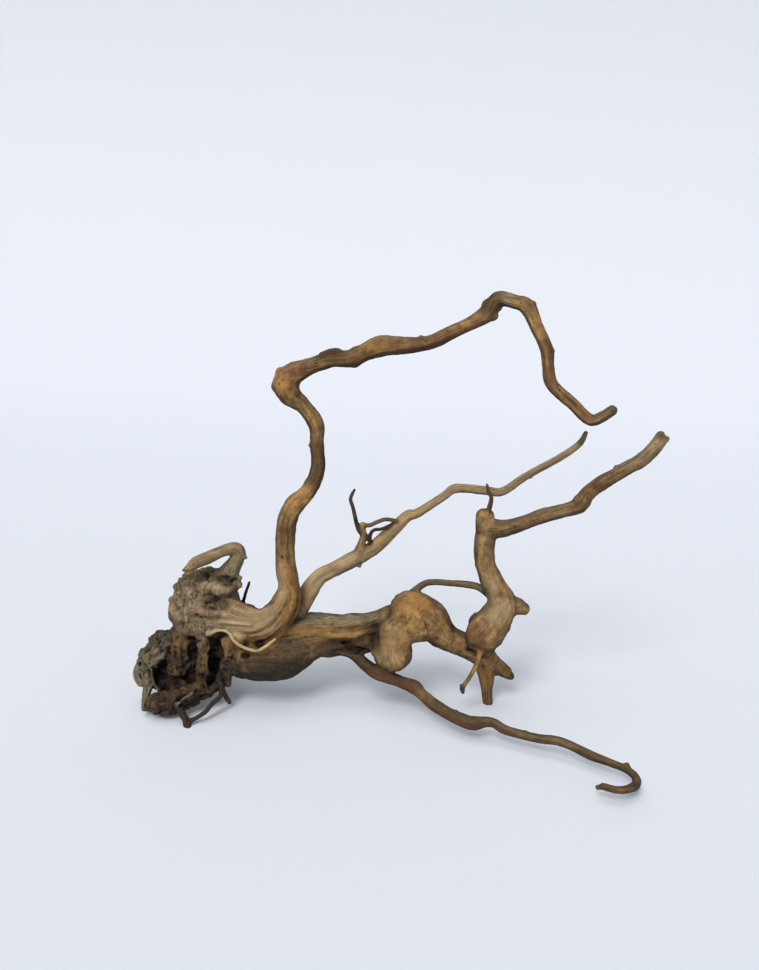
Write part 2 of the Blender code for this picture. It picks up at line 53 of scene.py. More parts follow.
# Points of each limb, from its thick end: x, y, z and radius, mm
LIMBS = {
    "upper": [
        (-62, 134, 84, 22), (-46, 132, 76, 18), (-28, 131, 72, 17), (-14, 130, 73, 16.5), (-3, 131, 82, 15),
        (5, 132, 97, 12.5), (6, 133, 110, 10), (3, 134, 128, 8.4), (2, 136, 152, 8), (6, 137, 174, 7.8),
        (21, 139, 193, 7.3), (27, 142, 211, 5.8), (25, 145, 229, 5.6), (24, 148, 244, 6.4),
        (14, 151, 257, 6.6), (2, 152, 267, 9), (-1, 152, 276, 10.5), (5, 151, 284, 9), (18, 150, 291, 6.2),
        (34, 149, 297, 6.6), (50, 147, 299, 6.8), (61, 145, 305, 6.7), (73, 144, 310, 7.8),
        (90, 141, 312, 6.6), (110, 138, 316, 5.5), (126, 135, 325, 5.6), (140, 132, 333, 5.3),
        (151, 130, 341, 6.9), (158, 128, 352, 6), (170, 124, 351, 5.2), (179, 120, 348, 5.8),
        (187, 116, 334, 5.1), (195, 112, 319, 5.1), (197, 109, 307, 4.6), (201, 106, 294, 4.9),
        (216, 100, 282, 4.4), (229, 94, 272, 4.1), (236, 88, 276, 4.1), (242, 84, 282, 3.8),
    ],
    "second": [
        (2, 146, 68, 10), (13, 148, 80, 8), (27, 154, 106, 7.6), (41, 158, 115, 6.9), (64, 163, 128, 6.6),
        (77, 166, 136, 6.2), (92, 170, 151, 5.4), (103, 174, 162, 4.8), (112, 176, 165, 4.1),
        (133, 182, 179, 3.6), (144, 185, 186, 4), (169, 190, 184, 3.8), (185, 193, 183, 3.6),
        (205, 197, 197, 3.4), (234, 203, 214, 3.1), (250, 207, 226, 2.9), (255, 209, 236, 2),
    ],
    "log": [
        (-20, 135, 56, 15), (8, 141, 62, 14.5), (31, 146, 64, 13), (50, 149, 64, 12), (71, 153, 66, 11.5),
        (86, 153, 71, 12), (101, 150, 79, 13),
    ],
    "hump": [
        (95, 126, 57, 16), (93, 127, 65, 17.4), (101, 131, 76, 15.2), (112, 139, 86, 20.3),
        (126, 142, 82, 16.8), (139, 144, 67, 12.2), (158, 146, 57, 10.8), (175, 149, 46, 9.5),
        (189, 152, 35, 6.8), (203, 155, 25, 4.3),
    ],
    "foot stub": [(175, 149, 46, 9), (180, 149, 27, 6.8), (182, 149, 12, 4.8), (184, 149, -2, 4.6)],
    "upright": [
        (174, 141, 58, 10), (173, 138, 72, 15.5), (181, 138, 86, 15), (186, 140, 98, 12.6),
        (183, 142, 109, 10.6), (174, 145, 123, 9), (169, 147, 137, 9), (168, 150, 157, 8.3),
        (166, 152, 174, 7.4),
    ],
    "spur": [(188, 141, 99, 10), (198, 142, 98, 7.6), (206, 144, 95, 5.4)],
    "outer": [
        (167, 151, 163, 8.5), (181, 150, 164, 7), (197, 150, 169, 6.3), (214, 152, 176, 6),
        (231, 154, 181, 6), (244, 156, 186, 6.6), (250, 157, 196, 6.6), (260, 158, 205, 6.1),
        (272, 160, 213, 6), (282, 161, 220, 5.8), (291, 163, 225, 5.9), (301, 166, 234, 6.2),
        (308, 168, 245, 5.8),
    ],
    "top twig": [
        (170, 151, 172, 3.2), (169, 150, 180, 2.3), (170, 150, 190, 1.9), (167, 149, 196, 1.7),
        (165, 148, 202, 1.3),
    ],
    "bridge": [
        (106, 146, 98, 4), (118, 152, 108, 2.9), (127, 153, 111, 2.7), (143, 153, 111, 2.8),
        (156, 152, 111, 3.2), (167, 149, 110, 3.2), (180, 144, 102, 3.6),
    ],
    "tail": [
        (-54, 127, 52, 13), (-34, 126, 46, 16.5), (-16, 126, 46, 18.5), (2, 128, 46, 17),
        (18, 130, 51, 13.5), (32, 132, 55, 9.5), (43, 132, 54, 7.2), (52, 133, 53, 5.6), (60, 132, 51, 4.4),
        (66, 130, 48.5, 4.5), (73, 127, 44, 5), (82, 124, 39, 5.5), (92, 123, 36, 5.6), (106, 122, 31, 5),
        (116, 119, 29, 6), (121, 115, 26, 4.8), (132, 107, 21, 4.9), (146, 99, 17, 5), (159, 91, 16, 5.4),
        (166, 90, 16, 5.6), (173, 89, 18, 4.5), (181, 88, 18, 4), (191, 83, 15, 3.7), (214, 74, 15, 3.7),
        (230, 70, 16, 3.7), (242, 64, 15, 3.5), (254, 57, 13, 3.7), (267, 49, 13, 3.1), (278, 43, 12, 3),
        (283, 35, 11, 3.1), (281, 27, 10, 3.4), (273, 20, 11, 3.1), (264, 17, 12, 2.9), (254, 19, 13, 2.8),
    ],
    "beak": [
        (-46, 130, 110, 12), (-43, 128, 120, 8.8), (-38, 126, 129, 6.8), (-35, 124, 136, 6.3),
        (-34, 123, 141, 6.2), (-38, 122, 144, 5.6), (-47, 119, 142, 4.8), (-59, 115, 137, 4.9),
        (-67, 112, 134, 4.6), (-71, 110, 131, 3.2), (-76, 109, 128, 1.2),
    ],
    "front twig": [
        (172, 131, 70, 3.6), (171, 131, 62, 2.7), (169, 129, 56, 2.3), (167, 128, 47, 2.1),
        (163, 126, 38, 1.9), (159, 125, 31, 1.9), (157, 125, 27, 2.5), (158, 124, 23, 1.4),
    ],
    "black twig": [(-36, 138, 80, 2), (-33, 140, 88, 1.7), (-31, 141, 96, 1.4), (-28, 143, 106, 1.3)],
    "fork": [
        (64, 163, 127, 6.9), (64, 162, 134, 4.8), (65, 160, 141, 3.2), (66, 158, 148, 2.8),
        (65, 157, 155, 2.6), (65, 156, 159, 2.3),
    ],
    "fork sliver": [(68, 157, 150, 1.4), (70, 158, 145, 1.3), (72, 161, 140, 1.3)],
    "high twig": [
        (64, 157, 150, 1.9), (61, 156, 155, 1.9), (58, 154, 167, 1.8), (56, 153, 175, 1.7),
        (54, 152, 181, 1.7), (55, 152, 186, 1.5), (57, 153, 190, 1.2),
    ],
    "loop twig": [
        (65, 156, 158, 2), (71, 157, 158, 1.9), (76, 159, 160, 1.9), (83, 162, 162, 1.9),
        (88, 165, 161, 1.9), (93, 168, 159, 1.8), (97, 171, 155, 1.9),
    ],
    "low twig": [
        (72, 164, 138, 1.6), (72, 160, 149, 1.7), (75, 160, 153, 1.6), (81, 163, 153, 1.6),
        (92, 170, 156, 1.8),
    ],
    "rear root": [
        (-60, 142, 66, 20), (-66, 156, 44, 13), (-66, 170, 28, 10), (-61, 182, 13, 8), (-58, 189, -2, 7.5),
    ],
    "rear strand": [
        (-78, 152, 92, 6), (-60, 160, 78, 6), (-36, 154, 66, 5), (-12, 152, 60, 4), (20, 158, 66, 3),
    ],
    "rear rib": [
        (-84, 142, 78, 7), (-88, 148, 56, 6), (-84, 152, 36, 5), (-78, 148, 20, 3.5), (-76, 140, 10, 2.5),
    ],
    "top fibre": [
        (-46, 119, 98, 6.5), (-36, 119, 94, 6), (-26, 119, 89, 5.5), (-15, 119, 87, 5), (-6, 121, 92, 5),
    ],
    "mid fibre": [
        (-48, 118, 91, 7), (-36, 117, 88, 5.5), (-24, 117, 86, 5), (-12, 118, 87, 4.5), (-1, 121, 95, 4.5),
        (4, 124, 107, 4),
    ],
    "low fibre": [
        (-56, 117, 80, 6), (-44, 115, 78, 5), (-31, 115, 79, 5), (-20, 115, 79, 5), (-11, 117, 83, 5),
        (-4, 120, 90, 4.5),
    ],
    "pale strand": [
        (-57, 112, 72, 3), (-45, 106, 79, 2), (-38, 105, 77, 2), (-34, 104, 71, 2), (-27, 104, 66, 2),
        (-16, 104, 63, 2), (-9, 106, 66, 2), (-1, 109, 72, 1.6), (5, 114, 79, 2),
    ],
    "orange lobe": [(-33, 116, 71, 10), (-36, 115, 62, 8.5), (-38, 115, 55, 5)],
    "splinter": [(-28, 111, 56, 3), (-30, 109, 51, 2), (-27, 108, 47, 1.6), (-24, 108, 41, 1.3)],
    "grey fold": [(-36, 117, 52, 6), (-34, 116, 44, 4), (-34, 117, 36, 2.6)],
    "left column": [
        (-95, 124, 57, 8.5), (-101, 122, 50, 10), (-107, 120, 41, 10.5), (-109, 118, 33, 8),
        (-107, 114, 27, 6), (-107, 107, 20, 4), (-107, 101, 14, 3.5), (-107, 98, 7, 3),
    ],
    "column root": [(-75, 128, 62, 13), (-89, 125, 55, 11), (-100, 124, 54, 9.5)],
    "flake": [(-110, 119, 43, 5.5), (-115, 117, 38, 4), (-117, 115, 28, 3.5), (-113, 112, 22, 3)],
    "middle mass": [
        (-72, 130, 66, 17), (-81, 128, 51, 17), (-83, 124, 40, 15), (-87, 121, 28, 10), (-82, 116, 19, 8),
    ],
    "rear wall": [(-101, 134, 43, 13), (-101, 131, 24, 15), (-87, 127, 17, 11)],
    "inner wall": [(-62, 132, 60, 17), (-68, 132, 46, 17), (-76, 130, 29, 15.5), (-65, 124, 20, 10)],
    "scoop": [
        (-50, 120, 34, 8), (-53, 118, 24, 7.5), (-64, 112, 19, 8), (-74, 106, 15, 8.5),
        (-85, 101, 13, 10.5), (-96, 99, 12, 9), (-104, 99, 9, 4),
    ],
    "slot left": [(-63, 116, 64, 7.5), (-59, 112, 52, 6.5), (-60, 112, 38, 6.5), (-61, 112, 23, 5)],
    "slot right": [(-38, 116, 65, 10), (-39, 116, 53, 8), (-40, 117, 42, 5), (-46, 119, 34, 5)],
    "front toe": [(-81, 98, 16, 3.6), (-76, 93, 10, 3.6), (-71, 89, 5, 3.8), (-69, 87, -2, 4.2)],
    "thin root": [
        (-69, 88, 3, 3), (-63, 92, 5, 2.3), (-56, 96, 9, 2.5), (-51, 102, 14, 2.5), (-46, 108, 17, 2.5),
        (-46, 112, 26, 3),
    ],
    "right leg": [(-50, 115, 34, 4), (-47, 114, 25, 3), (-44, 116, 14, 2.6), (-40, 118, 5, 2.1)],
    "short leg": [(-45, 117, 44, 6), (-42, 118, 32, 4), (-41, 118, 22, 2.5)],
    # a filler set back in the slit between the log and the tail, made dark as painted shade
    "crevice": [(50, 145, 50, 6), (62, 142, 51, 6.5), (72, 138, 56, 7), (81, 134, 62, 8)],
    "arm flake": [(26, 147, 301, 2), (33, 147, 304, 2.1), (39, 146, 305, 2.1), (44, 146, 303, 1.6)],
}

# Knots and burrs: centre and half sizes, mm
KNOTS = [
    ((-62, 133, 89), (28, 22, 27)), ((-47, 119, 112), (12, 9, 8)), ((-65, 121, 76), (10, 10, 10)),
    ((-48, 128, 112), (13, 12, 12)), ((-62, 128, 109), (14, 13, 13)), ((-75, 130, 102), (12.5, 12, 12.5)),
    ((-79, 130, 82), (14.5, 14, 15)), ((-71, 126, 70), (16, 14, 15)), ((-46, 126, 92), (14, 12, 14)),
    ((-70, 148, 84), (17, 14, 20)), ((-6, 152, 284), (4.5, 5, 4.5)), ((-9, 152, 273), (4.5, 5, 5)),
    ((2, 151, 268), (9, 8, 9)), ((52, 147, 296), (5, 5, 4)), ((69, 145, 314), (4.5, 4.5, 3.5)),
    ((155, 129, 340), (4.5, 5, 4.5)), ((161, 127, 355), (4, 4, 3.8)), ((180, 119, 350), (4, 4, 4)),
    ((246, 156, 189), (8, 8, 7)), ((310, 168, 244), (4, 5, 4)), ((169, 150, 77), (8.5, 8, 9)),
    ((184, 142, 75), (9.5, 9, 10)), ((120, 117, 28), (4.5, 5, 4.5)), ((163, 89, 16), (5, 5, 5)),
    ((278, 44, 13), (3.6, 3.6, 3.2)),
]

del LIMBS["pale strand"][-1]  # the strand ends sooner here than in the solid model

# Slivers and spikes that are too fine for the solid model: points of each, mm
SLIVERS = {
    "stub spike": [(187, 152, 34, 2.2), (188, 152, 31, 1.9), (189, 152, 26, 1.1)],
    "second flake": [(46, 146, 303, 1.8), (49, 146, 305, 1.7), (52, 146, 307, 1.9), (57, 145, 309, 1.5)],
    "twig foot": [(157, 125, 28, 1.7), (155, 125, 30, 1)],
    "scoop rim": [(-80, 94, 14, 2.2), (-77, 93, 18, 1.8), (-73, 94, 21, 1.6), (-67, 97, 25, 1.5)],
    "column sliver": [(-104, 113, 42, 2.2), (-103, 110, 33, 2), (-100, 108, 24, 1.8), (-97, 107, 20, 1.4)],
    "slot sliver": [(-57, 107, 50, 2), (-55, 106, 42, 1.7), (-55, 107, 32, 1.3)],
    "knob crest": [(-80, 127, 115, 1.6), (-75, 126, 118, 2.2), (-68, 126, 121, 2), (-57, 127, 123, 1.8)],
    "neck thread": [(-48, 112, 84, 1.8), (-40, 110.5, 84, 1.6), (-30, 110, 84, 1.5), (-21, 110.5, 83, 1.4)],
}

# Burrs on the limbs, and three larger balls that round the hump: centre and radius, mm
BURRS = [
    (64, 161, 119, 1.9), (188, 192, 188, 1.9), (209, 198, 196, 1.8), (-28, 122, 137, 1.8),
    (199, 111, 318, 2.4), (197, 108, 298, 2.6), (19.6, 144, 228, 1.6), (251, 20, 11, 2.2),
    (116, 118, 31, 4.2), (231, 203, 210, 1.7), (291, 163, 229, 3), (103, 138, 319, 2.6),
    (154, 130, 344, 4.2), (157, 129, 347, 5), (151, 130, 347, 5), (161, 127, 355, 3.6),
    (182, 119, 350, 3.6), (174, 122, 352, 3.8), (-87, 130, 104, 3.5), (-91, 131, 92, 3.2),
    (-92, 131, 80, 3), (-83, 130, 110, 3), (-60, 126, 121, 3.5), (-34, 124, 112, 3.5), (-33, 124, 118, 2.6),
    (-105, 122, 58, 3), (-98, 122, 62, 3.5), (-88, 121, 63, 3.2), (-113, 119, 50, 3), (36, 154, 117, 2),
    (92, 170, 158, 2), (96, 126, 57, 16.8), (112, 136, 81, 17.6), (119, 137, 80, 16.2), (278, 44, 15, 2.6),
    (236, 66, 18, 2.2), (205, 78, 17, 2.2), (150, 97, 20, 2.6), (272, 160, 219, 2.4),
]

# Hollows and pores pressed into the skin: centre, half sizes and depth, mm
HOLLOWS = [
    ((-45, 118, 120), (5, 6, 1.4), 1.6), ((-39, 116, 117), (5, 6, 1.4), 1.8),
    ((-56, 113, 102), (6, 6, 3.5), 1.8), ((-50, 113, 98), (8, 6, 5), 2.2), ((-66, 111, 88), (1.6, 5, 1), 1),
    ((-62, 111, 86), (2, 5, 1), 1), ((-58, 111, 87), (1.6, 5, 1), 1), ((-99, 117, 33), (6, 9, 9), 2.5),
    ((-89, 111, 26), (9, 7, 4), 3), ((-69, 112, 55), (4, 8, 7), 4.5), ((-49, 112, 57), (4, 9, 7), 7),
    ((-52, 113, 45), (3.5, 9, 8), 7), ((-54, 111, 33), (3, 8, 6), 6), ((-68, 113, 66), (6, 6, 2.2), 3),
    ((-15, 115, 63.5), (3, 6, 1.6), 2), ((-25.8, 108, 55.5), (3, 5, 1.8), 2),
    ((-114.4, 111, 39.4), (1.8, 5, 1.8), 3.5), ((-72, 98, 19.5), (6, 6, 2), 2.5),
    ((79, 128, 70), (5, 12, 8), 3), ((60, 129.5, 54.8), (12, 6, 2), 3), ((1, 124, 137), (1, 4, 1.4), 1.2),
    ((-41, 110, 151), (1.2, 5, 1.2), 1.2), ((-30, 112, 150), (1.2, 5, 1.2), 1.2),
    ((107, 118, 81), (0.7, 5, 0.7), 0.6), ((111, 118.7, 78.5), (0.8, 5, 0.7), 0.6),
    ((116, 119.5, 79), (0.7, 5, 0.7), 0.6), ((121, 121, 80.5), (0.8, 5, 0.7), 0.6),
    ((126, 123.5, 80), (0.7, 5, 0.7), 0.6), ((119, 121, 97), (0.7, 5, 0.7), 0.6),
    ((108, 126, 112), (1.2, 6, 0.7), 0.8), ((163, 134, 58), (4, 6, 2), 1.2),
    ((204, 154, 27), (3, 5, 3), 1.5), ((313, 168, 250), (3, 6, 3), 1.6),
    ((172, 146, 177), (2.5, 4, 3.5), 1.6), ((-60, 156, 100), (6, 6, 9), 2.5),
    ((-84, 152, 62), (4, 6, 12), 3), ((-40, 152, 90), (8, 6, 4), 2.5),
]

# How the wood of each limb looks, each from 0 to 1: brown, grey, char, rot, ribs and pale. Char is charred
# wood, and on the walls and the filler deep in the hollows it is painted shade
LOOKS = {
    "upper": (0.35, 0.1, 0, 0, 0.7, 0),
    "second": (0.15, 0.3, 0, 0, 0.5, 0.4),
    "log": (0.35, 0.15, 0, 0, 0.9, 0),
    "outer": (0.8, 0.2, 0.1, 0, 0.6, 0),
    "hump": (0.32, 0.05, 0, 0, 0.05, 0),
    "foot stub": (0.5, 0.1, 0.3, 0.1, 0.7, 0),
    "upright": (0.35, 0.15, 0, 0, 0.2, 0),
    "spur": (0.45, 0.2, 0, 0, 0.3, 0),
    "tail": (0.95, 0.15, 0.4, 0.2, 0.6, 0),
    "beak": (0.45, 0.6, 0, 0, 0.3, 0.1),
    "bridge": (0.9, 0.6, 0.6, 0, 0.3, 0),
    "top twig": (0.9, 0.2, 0.7, 0, 0.3, 0),
    "front twig": (0.45, 0.1, 0.1, 0, 0.3, 0),
    "twig foot": (1, 0.1, 0.9, 0, 0.2, 0),
    "fork": (0.4, 0.2, 0.1, 0, 0.4, 0.1),
    "fork sliver": (0.9, 0.2, 0.8, 0, 0.2, 0),
    "black twig": (1, 0, 1, 0, 0.2, 0),
    "low twig": (1, 0.2, 0.9, 0, 0.2, 0),
    "high twig": (1, 0.3, 1, 0, 0.2, 0),
    "loop twig": (0.8, 0.5, 0.6, 0, 0.2, 0),
    "rear root": (0.6, 0.3, 0.2, 0.3, 0.9, 0),
    "rear rib": (0.6, 0.4, 0.3, 0.5, 0.8, 0),
    "rear strand": (0.4, 0.4, 0, 0.1, 0.8, 0.1),
    "top fibre": (0.3, 0.45, 0, 0, 0.5, 0.1),
    "mid fibre": (0.15, 0.4, 0, 0, 0.5, 0.4),
    "low fibre": (0.05, 0.3, 0, 0, 0.4, 0.6),
    "pale strand": (0, 0.3, 0, 0, 0.1, 1),
    "neck thread": (0, 0.3, 0, 0, 0.2, 0.7),
    "orange lobe": (0.15, 0, 0, 0.1, 0.4, 0),
    "splinter": (0.4, 0.1, 0.1, 0, 0.3, 0),
    "grey fold": (0.6, 0.6, 0.4, 0.3, 0.5, 0),
    "left column": (0.6, 0.75, 0.3, 0.5, 0.8, 0),
    "column root": (0.7, 0.5, 0.5, 0.7, 0.8, 0),
    "column sliver": (0.5, 0.8, 0.2, 0.3, 0.6, 0),
    "flake": (0.3, 1, 0, 0.2, 0.5, 0.4),
    # the rear wall lies deep in the clump's hollows: its char is painted shade, its rot is decay
    "rear wall": (0.9, 0.1, 0.9, 0.9, 0.8, 0),
    "middle mass": (0.75, 0.1, 0.6, 0.9, 0.8, 0),
    # the inner wall lies deep in the clump's hollows: its char is painted shade, its rot is decay
    "inner wall": (0.9, 0, 0.9, 1, 0.8, 0),
    "scoop": (0.9, 0.05, 0.6, 0.7, 0.7, 0),
    "scoop rim": (0.6, 0.6, 0.1, 0.3, 0.4, 0.3),
    "slot left": (0.55, 0.1, 0.4, 0.7, 0.9, 0),
    "slot right": (0.5, 0.2, 0.4, 0.4, 0.8, 0),
    "slot sliver": (0.45, 0.3, 0.3, 0.4, 0.6, 0.1),
    "front toe": (1, 0.1, 1, 0.5, 0.4, 0),
    "thin root": (1, 0.2, 1, 0.4, 0.3, 0),
    "right leg": (0.8, 0.2, 0.6, 0.5, 0.5, 0),
    "short leg": (0.6, 0.5, 0.4, 0.4, 0.6, 0),
    # the crevice filler's char is painted shade in the slit under the log
    "crevice": (1, 0, 1, 0.5, 0.6, 0),
    "arm flake": (0.9, 0.5, 0.7, 0, 0.3, 0),
    "second flake": (0.9, 0.4, 0.7, 0, 0.3, 0),
    "knob crest": (0.7, 0.5, 0.6, 0.3, 0.5, 0),
}
# The look of the limbs that have none of their own
PLAIN_LOOK = (0.35, 0.15, 0.0, 0.0, 0.5, 0.0)

# How thick a limb is here, as a share of the solid's
THINNER = {"pale strand": 0.7, "orange lobe": 0.8, "front toe": 0.85, "thin root": 0.85, "right leg": 0.85}

# Places without ribs, where a limb bends too tightly for its grain: centre and half sizes, mm
CALM = [((115, 122, 83), (9, 14, 8)), ((83, 154, 133), (7, 12, 7))]

# Patches of another tone: centre, half sizes in mm and strength
PATCHES = {
    "red": [
        ((0, 127, 155), (5, 8, 8), 0.4), ((45, 152, 117), (10, 8, 5), 0.4), ((2, 144, 288), (8, 8, 9), 0.8),
        ((45, 143, 304), (18, 8, 6), 0.5), ((140, 128, 335), (12, 8, 8), 0.6),
        ((168, 125, 73), (7, 8, 9), 0.7), ((165, 128, 82), (8, 8, 9), 0.5),
        ((-62, 111, 87), (8, 5, 2.5), 0.8), ((-73.5, 113, 67.6), (3, 5, 3), 0.8),
        ((104, 128, 100), (9, 10, 8), 0.5), ((128, 131, 92), (8, 10, 8), 0.4),
        ((95, 118, 36), (14, 10, 8), 0.8), ((113, 116, 32), (9, 8, 6), 0.8),
        ((211, 145, 177), (9, 8, 6), 0.5), ((196, 105, 309), (8, 8, 14), 0.6),
        ((222, 92, 276), (9, 8, 7), 0.6), ((-54, 112, 137), (12, 6, 4), 0.6),
        ((178, 134, 108), (6, 8, 8), 0.5), ((110, 132, 318), (30, 8, 8), 0.5),
        ((24, 137, 228), (6, 8, 10), 0.5), ((-87, 112, 52), (6, 6, 5), 0.6),
        ((160, 88, 16), (10, 6, 5), 0.5),
    ],
    "gold": [
        ((-2, 141, 276), (7, 8, 7), 0.8), ((22, 146, 97), (8, 8, 8), 0.9),
        ((-100, 113, 46), (6, 8, 8), 0.6), ((-8, 117, 84), (18, 8, 9), 0.5),
        ((14, 129, 186), (8, 8, 12), 0.6), ((5, 122, 110), (9, 9, 18), 0.6),
        ((76, 136, 311), (14, 8, 6), 0.4), ((-13, 116, 67), (14, 8, 8), 0.7),
        ((1, 118, 80), (9, 8, 12), 0.6), ((-82, 112, 60), (8, 7, 7), 1), ((-59, 107, 55), (4, 6, 10), 0.35),
        ((-33, 108, 61), (8, 8, 8), 0.8), ((112, 130, 104), (11, 12, 9), 1),
        ((97, 166, 156), (12, 8, 7), 0.5), ((125, 110, 29), (7, 6, 5), 0.8),
        ((42, 134, 68), (30, 8, 5), 0.6), ((179, 146, 30), (5, 6, 10), 0.8),
        ((189, 110, 330), (6, 6, 10), 0.4), ((259, 152, 201), (10, 8, 7), 0.4),
        ((170, 130, 60), (4, 5, 8), 0.6), ((-101, 114, 50), (5, 6, 4), 0.6),
        ((-66, 104, 30), (5, 6, 4), 0.5), ((199, 152, 31), (4, 5, 3), 0.5),
    ],
    "pale": [
        ((31, 148, 108), (18, 10, 9), 0.9), ((56, 154, 124), (14, 8, 7), 0.6),
        ((-35, 113, 92), (9, 6, 4), 0.4), ((-19, 117, 91), (12, 6, 5), 0.5),
        ((-30, 112, 86), (14, 6, 4), 0.6), ((-49, 111, 114), (8, 6, 4), 0.7),
        ((-63, 111, 90), (5, 5, 4), 0.6), ((-81, 116, 79), (6, 7, 6), 0.6),
        ((183, 129, 99), (8, 8, 9), 0.4), ((0, 122, 118), (4, 6, 14), 0.4),
        ((-10, 114, 78), (16, 7, 6), 0.5), ((-34, 118, 128), (8, 8, 9), 0.4),
        ((92, 117, 58), (9, 8, 8), 0.25), ((174, 136, 114), (6, 6, 14), 0.3),
        ((-25, 109, 76), (12, 8, 5), 0.7), ((304, 162, 243), (8, 8, 7), 0.5),
    ],
    "grey": [
        ((164, 120, 352.5), (3, 9, 7), 1), ((289, 157, 227), (14, 8, 9), 0.5),
        ((41, 143, 77), (50, 10, 3), 0.8), ((-34, 120, 130), (9, 9, 11), 1),
        ((-63, 112, 73), (7, 7, 6), 0.9), ((-57, 112, 77), (5, 6, 5), 0.8),
        ((0, 121, 125), (3, 5, 20), 0.5), ((-116, 111, 26), (5, 8, 16), 0.9),
        ((-40, 112, 39), (3, 5, 8), 0.8), ((-36, 112, 38), (2.5, 5, 9), 0.9),
        ((238, 82, 280), (8, 8, 6), 0.5), ((78, 116, 58), (4, 6, 8), 0.5),
        ((-108, 112, 46), (6, 8, 12), 0.6), ((220, 150, 180), (12, 8, 4), 0.5),
        ((-104, 101, 18), (4, 6, 8), 0.6),
    ],
    "brown": [
        ((50, 143, 303), (45, 12, 9), 0.65), ((110, 132, 318), (40, 12, 10), 0.85),
        ((196, 105, 310), (10, 12, 24), 0.7), ((215, 95, 280), (20, 14, 9), 0.8),
        ((240, 84, 281), (8, 8, 7), 0.9), ((138, 180, 182), (36, 12, 12), 0.7),
        ((220, 198, 206), (60, 14, 36), 0.95), ((25, 142, 235), (8, 10, 26), 0.6),
        ((145, 138, 68), (18, 12, 12), 0.5), ((27, 137, 212), (10, 10, 20), 0.9),
        ((110, 145, 70), (12, 8, 8), 0.6), ((197, 153, 31), (16, 12, 9), 0.8),
        ((153, 123, 350), (12, 10, 10), 0.6), ((174, 117, 350), (12, 10, 8), 0.5),
        ((230, 148, 183), (26, 10, 8), 0.5), ((275, 155, 215), (26, 12, 14), 0.5),
        ((0, 144, 281), (10, 10, 12), 0.3),
    ],
    # Dark patches: charred and dark wood on limbs and twig ends, and painted shade in the knob's recess,
    # the clump's hollows and slots, the slit under the log, the hollow between the log's end and the hump,
    # and on the belly
    "dark": [
        ((27, 137, 212), (8, 10, 15), 0.6), ((33, 144, 300), (12, 6, 5), 0.6),
        ((153, 123, 350), (6, 8, 7), 0.6), ((181, 119, 350), (4, 6, 5), 0.5),
        ((-64, 126, 121), (16, 8, 4), 0.7), ((-41, 116, 118), (8, 6, 3), 0.8),
        ((-51, 113, 99), (9, 6, 5), 0.7), ((-12, 109, 38), (56, 18, 13), 0.9),
        ((51, 130, 57), (24, 10, 4), 0.8), ((60, 128, 53), (14, 10, 6), 0.9),
        ((73, 122, 46), (9, 8, 6), 0.8), ((163, 135, 58), (5, 6, 3), 0.8), ((-15, 115, 63), (4, 8, 3), 1),
        ((165, 129, 67), (4, 5, 3), 0.4), ((262, 152, 204), (9, 8, 3), 0.6),
        ((-84, 110, 44), (8, 8, 9), 0.75), ((206, 156, 25), (4, 8, 6), 1), ((-62, 108, 40), (4, 6, 4), 0.6),
        ((-25.8, 109, 55.5), (3.5, 7, 2.6), 1), ((-108, 117, 60), (9, 9, 4), 0.7),
        ((307, 165, 249), (5, 8, 4), 0.8), ((243, 83, 284), (4, 6, 3), 0.8), ((-69, 114, 55), (6, 8, 7), 1),
        ((-49, 113, 57), (4, 8, 7), 1), ((-52, 115, 43), (4, 8, 9), 1), ((-54, 111, 32), (4, 7, 7), 1),
        ((-99, 118, 32), (7, 10, 9), 0.6), ((-89, 111, 25), (11, 8, 5), 0.9),
        ((-62, 111, 87), (7, 5, 1.8), 0.7), ((-57, 111, 90), (3, 5, 3), 0.4),
        ((-73, 106, 24), (9, 8, 5), 0.6), ((-96, 118, 63), (14, 10, 4), 0.9),
        ((-70, 113, 64), (7, 6, 3), 0.8), ((79, 128, 70), (8, 16, 10), 1), ((204, 152, 26), (5, 8, 5), 0.8),
        ((-78, 100, 10), (24, 14, 6), 0.5), ((255, 18, 12), (4, 5, 4), 0.6),
        ((254, 207, 234), (6, 6, 8), 1), ((195, 150, 33), (12, 10, 3), 0.5),
        ((-76, 111, 128), (4, 4, 4), 0.6), ((157, 125, 25), (5, 5, 5), 0.9),
        ((146, 151, 78), (8, 8, 8), 0.7),
    ],
}

SWEEP_STEP = 1.4  # mm between rings of a swept limb
RING_STEP = 1.2  # mm between points of a ring
SKIN_STEP = 0.92  # mm, the fine skin's mesh
MOST_TRIANGLES = 196_000
CUT_TOLERANCE = 0.00001  # m
POINTS_AT_ONCE = 4096
SEED = 7

# How far a limb's skin rises and falls, as shares of its radius: broadly round it, in ribs and along it
ROUND_SWELL, RIB_SWELL, LONG_SWELL = 0.10, 0.10, 0.09

# A round end: how far out its rings lie, and its length as a share of the radius
CAP_RINGS = (0.35, 0.65, 0.87, 0.98)
CAP_LENGTH = 0.8

# Balls of more than this half size, mm, are made finer than the others
LARGE_BALL = 5
FINE_DETAIL, COARSE_DETAIL = 4, 2

FAIR_IN, FAIR_OUT = 0.55, -0.56  # the shares of a smoothing pass and of the one that undoes its shrinking

# The knob, the foot of the beak that isn't part of it, and the decayed end: centre and half sizes, mm
KNOB = ((-64, 130, 95), (29, 28, 30))
BEAK_FOOT = ((-30, 122, 140), (22, 20, 24))
DECAYED_END = ((-80, 114, 34), (42, 34, 30))
KNOB_RIGHT = -34  # x where the bark of the knob ends, mm
DECAY_TOP = 72  # z where the decay ends, mm
DECAY_RIGHT = -20  # x from which only little is decayed, mm
GRAIN_JUMP = 1.2  # mm between neighbours where the grain of one limb ends at another


